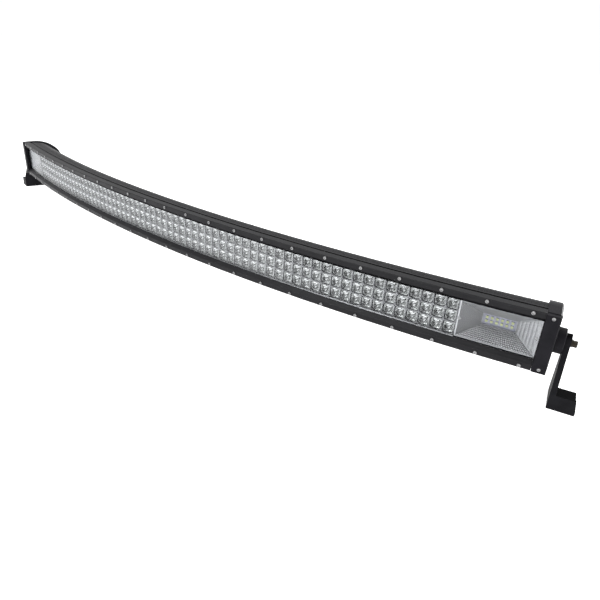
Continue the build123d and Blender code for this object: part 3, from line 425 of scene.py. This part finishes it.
def mirror_coating(name, colour, tint, roughness, waviness_mm, metallic):
    """Vacuum-metallised plastic: bright, slightly soft mirror."""
    n = Nodes(name)
    where = n.point()
    slow = n.noise(where, scale=0.10)
    fine = n.noise(where, scale=1.3)
    n.set(
        Base_Color=n.blend(n.ramp(slow, 0.0, 1.0, start=0.35, end=0.65), colour, tint),
        Metallic=metallic,
        Roughness=n.ramp(fine, roughness * 0.75, roughness * 1.3),
        Normal=n.bump(fine, distance_mm=waviness_mm, strength=0.5),
    )
    return n.material


def phosphor():
    """Yellow phosphor window of an LED, with a mottled, slightly glossy silicone face."""
    n = Nodes("phosphor")
    where = n.point()
    mottle = n.noise(where, scale=1.8)
    n.set(
        Base_Color=n.blend(mottle, (0.30, 0.33, 0.13), (0.42, 0.44, 0.22)),
        Roughness=0.35,
        Coat_Weight=0.5,
        Normal=n.bump(mottle, distance_mm=0.05, strength=0.4),
    )
    return n.material


lens_clear = clear_cover()
led_yellow = phosphor()
# name, colour, tint, roughness, clearness, metallic share
crystal_body = crystal("crystal_body", (0.345, 0.345, 0.35), (0.32, 0.33, 0.325), 0.20, 0.12, 0.50)
# bright flat white finish that paints highlights on the ridges of the optics
crystal_painted_highlight = crystal("crystal_painted_highlight", (0.74, 0.74, 0.74), (0.66, 0.67, 0.68), 0.22, 0.0, 0.0)
# darker copy of the optic finish, for the painted reflection on the lower-left facets
crystal_shade = crystal("crystal_shade", (0.14, 0.14, 0.145), (0.12, 0.125, 0.125), 0.20, 0.10, 0.50)
# name, colour, tint, roughness, waviness, metallic share
cup_silver = mirror_coating("cup_silver", (0.26, 0.26, 0.27), (0.21, 0.21, 0.22), 0.34, 0.05, 0.45)
# darker copies of the cup finish, for painted shade and painted reflection on the cup walls
cup_painted_shade = mirror_coating("cup_painted_shade", (0.18, 0.18, 0.19), (0.14, 0.14, 0.15), 0.40, 0.05, 0.35)
cup_painted_deep_shade = mirror_coating("cup_painted_deep_shade", (0.115, 0.115, 0.12), (0.08, 0.08, 0.085), 0.40, 0.05, 0.35)
trim_silver = mirror_coating("trim_silver", (0.17, 0.17, 0.175), (0.13, 0.13, 0.135), 0.35, 0.03, 0.6)
edge_silver = mirror_coating("edge_silver", (0.40, 0.40, 0.41), (0.34, 0.34, 0.355), 0.30, 0.03, 0.85)
flood_silver = mirror_coating("flood_silver", (0.355, 0.355, 0.365), (0.305, 0.305, 0.32), 0.36, 0.04, 0.55)
# brighter copy of the reflector finish, for painted highlight on the bead crests
crest_painted_highlight = mirror_coating("crest_painted_highlight", (0.55, 0.55, 0.56), (0.46, 0.46, 0.475), 0.24, 0.04, 0.7)
# darker copy of the reflector finish, for painted shade in the bead valleys and on the inner wall
shaded_silver = mirror_coating(
    "shaded_silver", (0.145, 0.145, 0.148), (0.125, 0.125, 0.13), 0.36, 0.04, 0.5
)


# ======================================================================================================
# Mesh helpers
# ======================================================================================================
class Shape:
    """Collects points and faces in millimetres, each face with a material number."""

    def __init__(self):
        self.points = []
        self.faces = []
        self.materials = []

    def point(self, x, depth, z):
        """Adds a point and gives its number."""
        self.points.append((x, depth, z))
        return len(self.points) - 1

    def face(self, indices, material=0):
        """Adds a face between points that are given by number."""
        self.faces.append(tuple(indices))
        self.materials.append(material)

    def join_rings(self, first, second, material=0):
        """Quads between two closed rings of equally many points.

        The material is a number, or a rule that gives the number for a part of the turn from 0 to 1.
        """
        count = len(first)
        for i in range(count):
            j = (i + 1) % count
            number = material((i + 0.5) / count) if callable(material) else material
            self.face((first[i], first[j], second[j], second[i]), number)

    def cap(self, ring, tip, material=0):
        """Triangles from a closed ring to a tip."""
        count = len(ring)
        for i in range(count):
            self.face((ring[i], ring[(i + 1) % count], tip), material)


def repeat(shape, places, name, materials, smooth=False):
    """One piece of the bar that holds a copy of the shape at each place."""
    base = np.array([(*p, 1.0) for p in shape.points])
    all_points = []
    all_faces = []
    for number, place in enumerate(places):
        moved = base @ np.array(place).T
        all_points.append(moved[:, :3])
        offset = number * len(base)
        all_faces.extend([tuple(i + offset for i in face) for face in shape.faces])
    mesh = bpy.data.meshes.new(name)
    mesh.from_pydata(np.concatenate(all_points).tolist(), [], all_faces)
    for material in materials:
        mesh.materials.append(material)
    numbers = np.tile(np.array(shape.materials, dtype=np.int32), len(places))
    mesh.polygons.foreach_set("material_index", numbers)
    mesh.polygons.foreach_set("use_smooth", np.full(len(numbers), smooth))
    mesh.update()
    piece = bpy.data.objects.new(name, mesh)
    bpy.context.scene.collection.objects.link(piece)
    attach(piece, "bar")
    return piece


# corners of a square, bottom left first and then round
SQUARE = ((-1, -1), (1, -1), (1, 1), (-1, 1))


def directions(count):
    """Evenly spaced angles of a full turn, counted from x towards z."""
    return [2 * math.pi * i / count for i in range(count)]


def rounded_square(angle, half_x, half_z, power):
    """Point of a square with rounded corners, in the direction of the angle; more power is squarer."""
    c = math.cos(angle)
    s = math.sin(angle)
    reach = (abs(c) ** power + abs(s) ** power) ** (-1 / power)
    return half_x * reach * c, half_z * reach * s


# ======================================================================================================
# Spot modules: mirrored cups and faceted clear optics
# ======================================================================================================
module_places = [bar_place((i - (SPOT_MODULES - 1) / 2) * MODULE_PITCH) for i in range(SPOT_MODULES)]


def row_cells(row):
    """Matrices of all the cells in one row, counted from the top."""
    height = ((CELL_ROWS - 1) / 2 - row) * CELL_HEIGHT
    offsets = [(column - (CELL_COLUMNS - 1) / 2) * CELL_WIDTH for column in range(CELL_COLUMNS)]
    return [place @ Matrix.Translation((x, 0, height)) for place in module_places for x in offsets]


cell_places = [place for row in range(CELL_ROWS) for place in row_cells(row)]

# material numbers on the cups
CUP_SILVER, CUP_SHADE, CUP_DEEP_SHADE = range(3)
cup_finishes = [cup_silver, cup_painted_shade, cup_painted_deep_shade]
# parts of a full turn, counted from x towards z, that take a darker finish: painted shade and painted
# reflection
CUP_SHADE_ARC = (0.36, 0.80)
CUP_DEEP_SHADE_ARC = (0.54, 0.80)
SHADED_ARC = (0.50, 0.72)


def cup_shape(wall_material):
    """Open cup of one cell: narrow border, rounded mouth, smooth wall, floor with a square hole."""
    shape = Shape()
    half_x = CELL_WIDTH / 2
    half_z = CELL_HEIGHT / 2
    # half width, half height, squareness, depth
    border = [
        (half_x, half_z, 60.0, 10.5),
        (half_x - 0.25, half_z - 0.25, 16.0, 10.2),
    ]
    wall = [
        (half_x - 0.5, half_z - 0.5, 8.0, 10.6),
        (7.6, 7.8, 6.0, 12.2),
        (7.3, 7.5, 5.0, 14.4),
        (6.7, 6.9, 5.0, 18.5),
        (5.7, 5.9, 5.0, 23.0),
    ]
    floor = [
        (5.0, 5.0, 6.0, 26.6),
        (2.6, 2.6, 8.0, 26.6),
        (2.5, 2.5, 8.0, 28.2),
    ]
    rings = []
    for ring_half_x, ring_half_z, power, depth in border + wall + floor:
        ring = []
        for angle in directions(32):
            x, z = rounded_square(angle, ring_half_x, ring_half_z, power)
            ring.append(shape.point(x, depth, z))
        rings.append(ring)
    for index in range(len(rings) - 1):
        on_wall = 1 <= index <= len(wall)
        shape.join_rings(rings[index], rings[index + 1], wall_material if on_wall else CUP_SILVER)
    return shape


def upper_wall(part_of_turn):
    """Wall of a cup in the two upper rows: darker at the left and below, as painted shade."""
    return CUP_SHADE if CUP_SHADE_ARC[0] < part_of_turn < CUP_SHADE_ARC[1] else CUP_SILVER


def lowest_wall(part_of_turn):
    """Wall of a cup in the lowest row: darker still at the lower left, as a painted reflection of the dark
    bezel below it.
    """
    return CUP_DEEP_SHADE if CUP_DEEP_SHADE_ARC[0] < part_of_turn < CUP_DEEP_SHADE_ARC[1] else upper_wall(part_of_turn)


# material numbers on the optics
BODY, PAINTED_HIGHLIGHT, PIT_SHADE, SHADE = range(4)
crystal_finishes = [crystal_body, crystal_painted_highlight, pit_painted_shade, crystal_shade]


def shaded_corner(part_of_turn):
    """Facets of an optic: those at the lower left take a darker finish, a painted reflection of the dark
    side of its cup.
    """
    return SHADE if SHADED_ARC[0] < part_of_turn < SHADED_ARC[1] else BODY


# an optic stands a little off its cell's centre, and nothing on it comes nearer than its front
OPTIC_SHIFT = 0.4
OPTIC_FRONT = 10.4
OPTIC_SQUARENESS = 5.0
OPTIC_LOBES = 8
LOBE_SWELL = 0.05
LOBE_DEPTH = 0.5
# the diagonal cuts: distance between them, their slant, and the share of a cut that stands forward
CUT_STEP = 2.6
CUT_SLANT = 0.9
CUT_MIDDLE = 0.3


def crystal_shape():
    """Clear optic of one cell: flaring sides, lobed rim, cut facets, a raised lens in the middle."""
    shape = Shape()
    # half width, half height, depth, share of the lobes, depth of the diagonal cuts
    sides = [
        (2.3, 2.3, 27.6, 0.0, 0.0),
        (4.2, 4.3, 21.5, 0.0, 0.0),
        (6.1, 6.4, 15.8, 0.2, 0.4),
    ]
    face = [
        (7.2, 7.5, 13.0, 0.5, 0.8),
        (7.0, 7.3, 11.4, 0.5, 0.5),
        (5.8, 6.1, 10.9, 0.4, 0.9),
        (4.3, 4.6, 12.2, 0.3, 1.7),
    ]
    middle = [
        (3.0, 3.2, 13.2, 0.0, 1.5),
        (1.6, 1.7, 11.7, 0.0, 0.3),
    ]
    tip_depth = 11.1
    rings = []
    for half_x, half_z, depth, lobe, cut in sides + face + middle:
        ring = []
        for angle in directions(24):
            x, z = rounded_square(angle, half_x, half_z, OPTIC_SQUARENESS)
            wave = lobe * math.cos(OPTIC_LOBES * angle)
            swell = 1 + LOBE_SWELL * wave
            diagonal = ((x * CUT_SLANT - z) / CUT_STEP) % 1.0
            tilt = cut * (diagonal - CUT_MIDDLE) + LOBE_DEPTH * wave
            cut_depth = max(depth + tilt, OPTIC_FRONT)
            ring.append(shape.point(x * swell + OPTIC_SHIFT, cut_depth, z * swell + OPTIC_SHIFT))
        rings.append(ring)
    for index in range(len(rings) - 1):
        on_face = len(sides) <= index < len(sides) + len(face)
        shape.join_rings(rings[index], rings[index + 1], shaded_corner if on_face else BODY)
    shape.cap(rings[-1], shape.point(OPTIC_SHIFT, tip_depth, OPTIC_SHIFT), BODY)
    shape.face(list(reversed(rings[0])), BODY)
    add_bar(shape, 1.4, -0.4, length=4.4, half_width=0.6, turn_degrees=52)
    add_bar(shape, -0.9, 5.9, length=5.2, half_width=1.2, turn_degrees=8)
    add_bar(shape, 2.6, 5.0, length=3.6, half_width=1.0, turn_degrees=30)
    add_bar(shape, 0.2, 3.7, length=4.0, half_width=0.7, turn_degrees=34)
    add_pit(shape, -2.2, -3.6, radius=1.2)
    add_pit(shape, -3.6, -1.4, radius=0.7)
    return shape


def add_bar(shape, centre_x, centre_z, length, half_width, turn_degrees):
    """Rounded ridge on the face of an optic, turned in the plane of the face; its bright finish is a
    painted highlight.
    """
    turn = math.radians(turn_degrees)
    along = (math.cos(turn), math.sin(turn))
    across = (-along[1], along[0])
    rings = []
    # share of the length, share of the half width, depth behind the optic's front
    for reach, width, sunk in ((0.5, 1.0, 1.6), (0.5, 1.0, 0.5), (0.38, 0.45, 0.0)):
        ring = []
        for angle in directions(8):
            u = length * reach * math.cos(angle)
            v = half_width * width * math.sin(angle)
            x = centre_x + u * along[0] + v * across[0]
            z = centre_z + u * along[1] + v * across[1]
            ring.append(shape.point(x, OPTIC_FRONT + sunk, z))
        rings.append(ring)
    shape.join_rings(rings[0], rings[1], PAINTED_HIGHLIGHT)
    shape.join_rings(rings[1], rings[2], PAINTED_HIGHLIGHT)
    shape.face(rings[2], PAINTED_HIGHLIGHT)
    shape.face(list(reversed(rings[0])), PAINTED_HIGHLIGHT)


PIT_SQUASH = 0.8


def add_pit(shape, centre_x, centre_z, radius):
    """Blind hole in a low boss on the face of an optic, a little wider than it is high; its dark finish is
    painted shade.
    """
    rings = []
    # share of the radius, depth behind the optic's front
    for reach, sunk in ((1.3, 1.5), (1.1, 0.3), (0.95, 0.3), (0.8, 1.3)):
        ring = []
        for angle in directions(10):
            x = centre_x + radius * reach * math.cos(angle)
            z = centre_z + PIT_SQUASH * radius * reach * math.sin(angle)
            ring.append(shape.point(x, OPTIC_FRONT + sunk, z))
        rings.append(ring)
    shape.join_rings(rings[0], rings[1], BODY)
    shape.join_rings(rings[1], rings[2], PIT_SHADE)
    shape.join_rings(rings[2], rings[3], PIT_SHADE)
    shape.face(rings[3], PIT_SHADE)


for row_name, rows, wall in (("upper", (0, 1), upper_wall), ("lowest", (2,), lowest_wall)):
    row_places = [place for row in rows for place in row_cells(row)]
    cups = repeat(cup_shape(wall), row_places, f"{row_name}_spot_cups", cup_finishes, smooth=True)
    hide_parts("spot_optic_holders")

crystals = repeat(crystal_shape(), cell_places, "spot_crystals", crystal_finishes)
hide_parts("spot_optics")


# section of a strip: depth, distance from the module's middle line
TRIM_OUTLINE = ((10.3, 25.7), (10.0, 25.7), (8.65, 26.85), (8.65, 26.95), (10.3, 26.95))
TRIM_GAP = 0.2


def trim_shape():
    """Silver strips just above and below one module, behind the clear cover."""
    shape = Shape()
    half = (MODULE_PITCH - TRIM_GAP) / 2
    for upward in (1, -1):
        ends = []
        for x in (-half, half):
            ends.append([shape.point(x, depth, upward * z) for depth, z in TRIM_OUTLINE])
        shape.join_rings(ends[0], ends[1])
        shape.face(ends[0])
        shape.face(list(reversed(ends[1])))
    return shape


trims = repeat(trim_shape(), module_places, "module_trims", [trim_silver])


# ======================================================================================================
# Flood reflectors: smooth inner wall and roof, beaded lower wall, ribbed outer wall
# ======================================================================================================
# half length and half height of the rim, the mouth, the floor and the opening for the chips
RIM = (FLOOD_LENGTH / 2, CELL_ROWS * CELL_HEIGHT / 2)
MOUTH = (46.5, 24.0)
FLOOR = (21.0, 8.0)
OPENING = (20.4, 7.4)
RIM_DEPTH = FLOOD_FRONT - 0.1
MOUTH_DEPTH = FLOOD_FRONT + 0.2
FLOOR_DEPTH = FLOOD_FLOOR_DEPTH - 1.2
OPENING_DEPTH = FLOOR_DEPTH + 0.3
SHEET = 0.5

# material numbers on the reflectors
SATIN, EDGE, CREST_HIGHLIGHT, SHADED = range(4)
flood_finishes = [flood_silver, edge_silver, crest_painted_highlight, shaded_silver]


def patch(shape, corners, columns, rows, relief, tone):
    """Four-cornered wall, corners in order mouth, mouth, floor, floor, with relief(u, v) along its normal.

    The tone is a rule that gives the material number for a place (u, v) on the wall.
    """
    a, b, c, d = (Vector(corner) for corner in corners)
    normal = (b - a).cross(d - a).normalized()
    grid = []
    for row in range(rows + 1):
        v = row / rows
        line = []
        for column in range(columns + 1):
            u = column / columns
            spot = a.lerp(b, u).lerp(d.lerp(c, u), v) + normal * relief(u, v)
            line.append(shape.point(*spot))
        grid.append(line)
    for row in range(rows):
        for column in range(columns):
            quad = (
                grid[row][column],
                grid[row][column + 1],
                grid[row + 1][column + 1],
                grid[row + 1][column],
            )
            shape.face(quad, tone((column + 0.5) / columns, (row + 0.5) / rows))


# shares of a wall's size, and of the step from bead to bead
WALL_MARGIN = 0.03
CREST_HALF = 0.31


def edge_fade(u, v):
    """0 on the border of a wall and 1 inside, so that neighbouring walls meet."""
    near = min(u, 1 - u, v, 1 - v)
    return max(0.0, min(1.0, near / WALL_MARGIN))


def beads(columns, rows, height):
    """Relief of round beads in straight rows."""
    def relief(u, v):
        across = math.sin(math.pi * ((u * columns) % 1.0))
        down = math.sin(math.pi * ((v * rows) % 1.0))
        return height * across * down * edge_fade(u, v)
    return relief


def bead_tone(columns, rows):
    """Rule for a beaded wall: bright crests between darker valleys, as painted highlight and painted shade.
    """
    def tone(u, v):
        across = abs((u * columns) % 1.0 - 0.5)
        down = abs((v * rows) % 1.0 - 0.5)
        return CREST_HIGHLIGHT if across < CREST_HALF and down < CREST_HALF else SHADED
    return tone


def ribs(count, height, ripples):
    """Relief of upright ribs across the depth of a wall, each broken into soft ripples."""
    def relief(u, v):
        rib = math.sin(math.pi * ((v * count) % 1.0))
        ripple = 0.75 + 0.25 * math.sin(2 * math.pi * u * ripples)
        return height * rib * ripple * edge_fade(u, v)
    return relief


def flat(u, v):
    """Relief of a plain wall."""
    return 0.0


def even(number):
    """Rule for a wall that has one material all over."""
    return lambda u, v: number


def corners_of(half_length, half_height, side):
    """Corners of a rectangle at the right end, or their mirror image at the left end."""
    return [(side * x * half_length, z * half_height) for x, z in SQUARE]


def flood_shape(side):
    """Whole reflector for one end; side is 1 at the right end and -1 at the left end."""
    shape = Shape()
    rim = corners_of(*RIM, side)
    mouth = corners_of(*MOUTH, side)
    floor = corners_of(*FLOOR, side)
    opening = corners_of(*OPENING, side)
    lower_beads = beads(columns=30, rows=9, height=1.0)
    upper_beads = beads(columns=30, rows=3, height=0.06)
    outer_ribs = ribs(count=6, height=0.45, ripples=11)
    # the lower wall's crests and valleys carry painted highlight and painted shade, and the inner wall is
    # painted shade all over
    # relief, faces along, faces deep, tone, border: lower, outer, upper and inner wall
    walls = [
        (lower_beads, 150, 45, bead_tone(columns=30, rows=9), SATIN),
        (outer_ribs, 66, 36, even(SATIN), SATIN),
        (upper_beads, 60, 12, even(SATIN), SATIN),
        (flat, 12, 8, even(SHADED), EDGE),
    ]
    for index, (relief, columns, rows, tone, border_material) in enumerate(walls):
        after = (index + 1) % len(walls)
        corners = [
            (mouth[index][0], MOUTH_DEPTH, mouth[index][1]),
            (mouth[after][0], MOUTH_DEPTH, mouth[after][1]),
            (floor[after][0], FLOOR_DEPTH, floor[after][1]),
            (floor[index][0], FLOOR_DEPTH, floor[index][1]),
        ]
        signed = relief if side > 0 else (lambda u, v, inner=relief: -inner(u, v))
        patch(shape, corners, columns, rows, signed, tone)
        strip(shape, mouth, rim, index, after, MOUTH_DEPTH, RIM_DEPTH, border_material)
        strip(shape, floor, opening, index, after, FLOOR_DEPTH, OPENING_DEPTH, SATIN)
    return shape


def strip(shape, near, far, index, after, near_depth, far_depth, material):
    """Flat border along one wall, between two rectangles."""
    shape.face(
        (
            shape.point(near[index][0], near_depth, near[index][1]),
            shape.point(near[after][0], near_depth, near[after][1]),
            shape.point(far[after][0], far_depth, far[after][1]),
            shape.point(far[index][0], far_depth, far[index][1]),
        ),
        material,
    )


for side, side_name in SIDES:
    mirror_piece = repeat(
        flood_shape(side),
        [bar_place(side * FLOOD_CENTRE)],
        f"{side_name}_flood_mirror",
        flood_finishes,
    )
    thickness = mirror_piece.modifiers.new("wall", "SOLIDIFY")
    thickness.thickness = SHEET * MM
    thickness.offset = -1.0 if side > 0 else 1.0
    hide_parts(f"{side_name}_flood_reflector")


# ======================================================================================================
# LED packages: ceramic frame with a phosphor window
# ======================================================================================================
# material numbers on the chips
CERAMIC, PHOSPHOR = range(2)
chip_finishes = [led_ceramic, led_yellow]


def chip_shape():
    """One LED: a ceramic block with a chamfered rim and a phosphor window that is sunk a little."""
    shape = Shape()
    # half width, depth
    block = [(1.75, 29.9), (1.75, 28.7), (1.7, 28.5)]
    window = [(1.62, 28.5), (1.58, 28.65), (0.7, 28.55)]
    rings = []
    for half, depth in block + window:
        rings.append([shape.point(x * half, depth, z * half) for x, z in SQUARE])
    for index in range(len(rings) - 1):
        on_window = index >= len(block)
        shape.join_rings(rings[index], rings[index + 1], PHOSPHOR if on_window else CERAMIC)
    shape.face(rings[-1], PHOSPHOR)
    return shape


def flood_chip_places(side):
    """Matrices of the chips in one flood group."""
    group = bar_place(side * FLOOD_CENTRE)
    places = []
    for column in range(FLOOD_CHIP_COLUMNS):
        for row in range(FLOOD_CHIP_ROWS):
            x = (column - (FLOOD_CHIP_COLUMNS - 1) / 2) * FLOOD_CHIP_SPACING[0]
            z = (row - (FLOOD_CHIP_ROWS - 1) / 2) * FLOOD_CHIP_SPACING[1]
            places.append(group @ Matrix.Translation((x, 0, z)))
    return places


spot_chips = repeat(chip_shape(), cell_places, "spot_chips", chip_finishes)
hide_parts("spot_leds")

for side, side_name in SIDES:
    chips = repeat(chip_shape(), flood_chip_places(side), f"{side_name}_flood_chips", chip_finishes)
    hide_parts(f"{side_name}_flood_leds")


# ======================================================================================================
# Materials on the CAD nodes
# ======================================================================================================
# part of a node's name, and its finish
finishes = {
    "housing": extruded_black,
    "bezel_rail": extruded_black,
    "end_cap": cast_black,
    "end_bezel": cast_black,
    "pivot_spacer": cast_black,
    "bracket": powder_black,
    "bezel_screws": steel,
    "cap_screws": steel,
    "reflector_screws": steel,
    "pivot_bolt": zinc,
    "washer": zinc,
    "gasket": rubber,
    "cable": rubber,
    "cable_gland": nylon,
    "gland_nut": nylon,
    "breather": nylon,
    "plug_housing": nylon,
    "plug_terminals": brass,
    "front_lens": lens_clear,
    "led_board": white_solder_mask,
    "thermal": pad_grey,
    "driver_boards": green_board,
    "inductors": nylon,
    "capacitors": steel,
    "jumpers": red_wire,
    "supply_wires": red_wire,
    "leds": led_yellow,
    "spot_optics": crystal_body,
    "holders": cup_silver,
    "flood_reflector": flood_silver,
}


def finish_for(node_name):
    """The finish whose key is the longest that the node's name holds."""
    matching = [key for key in finishes if key in node_name]
    return finishes[max(matching, key=len)]


for node_name, node in frame["nodes"].items():
    first_slot = np.zeros(len(node.data.polygons), dtype=np.int32)
    node.data.materials.clear()
    node.data.materials.append(finish_for(node_name))
    node.data.polygons.foreach_set("material_index", first_slot)


# ======================================================================================================
# Floor, light and camera
# ======================================================================================================
scene = bpy.context.scene
centre = (cad_low + cad_high) / 2

GROUND_HALF = 30
ground_corners = [(x * GROUND_HALF, y * GROUND_HALF, cad_low.z) for x, y in SQUARE]
floor_mesh = bpy.data.meshes.new("floor")
floor_mesh.from_pydata(ground_corners, [], [(0, 1, 2, 3)])
floor_piece = bpy.data.objects.new("floor", floor_mesh)
scene.collection.objects.link(floor_piece)
floor_look = Nodes("floor_look")
floor_tone = floor_look.noise(floor_look.point(), scale=0.004)
floor_look.set(
    Base_Color=floor_look.blend(floor_tone, (0.92, 0.92, 0.92), (0.95, 0.95, 0.95)),
    Roughness=0.9,
    Emission_Color=(1.0, 1.0, 1.0),
    Emission_Strength=0.7,
)
floor_mesh.materials.append(floor_look.material)

world = bpy.data.worlds.new("studio")
scene.world = world
world.use_nodes = True
background = world.node_tree.nodes["Background"]
background.inputs["Color"].default_value = (1.0, 1.0, 1.0, 1)
background.inputs["Strength"].default_value = 1.02


def soft_light(name, position, size, power):
    """Square area light that points at the bar's centre."""
    lamp = bpy.data.lights.new(name, "AREA")
    lamp.size = size
    lamp.energy = power
    lamp_object = bpy.data.objects.new(name, lamp)
    scene.collection.objects.link(lamp_object)
    lamp_object.location = position
    lamp_object.rotation_mode = "QUATERNION"
    lamp_object.rotation_quaternion = (centre - Vector(position)).to_track_quat("-Z", "Y")


# name, position, size, power
soft_light("key", (-0.4, -1.2, 2.3), 1.2, 38)
soft_light("fill", (1.8, -1.6, 1.2), 1.6, 6)
soft_light("top", (0.0, 0.6, 2.4), 2.4, 20)
soft_light("behind", (1.4, 2.0, 0.45), 1.0, 40)

scene.view_settings.view_transform = "Standard"
scene.view_settings.look = "None"

CAMERA_POSITION = (0.7538, -0.6204, 0.3703)
CAMERA_VIEW = (-0.5633, 0.7038, -0.4329)
CAMERA_UP = (-0.3216, 0.2959, 0.8995)
CAMERA_SENSOR = 36
CAMERA_LENS = 31.37
CAMERA_NEAREST = 0.01
camera_data = bpy.data.cameras.new("camera")
camera_data.sensor_width = CAMERA_SENSOR
camera_data.lens = CAMERA_LENS
camera_data.clip_start = CAMERA_NEAREST
camera = bpy.data.objects.new("camera", camera_data)
scene.collection.objects.link(camera)
view_axis = -Vector(CAMERA_VIEW).normalized()
right_axis = Vector(CAMERA_UP).cross(view_axis).normalized()
up_axis = view_axis.cross(right_axis)
camera_turn = Matrix((right_axis, up_axis, view_axis)).transposed().to_4x4()
camera.matrix_world = Matrix.Translation(CAMERA_POSITION) @ camera_turn
scene.camera = camera
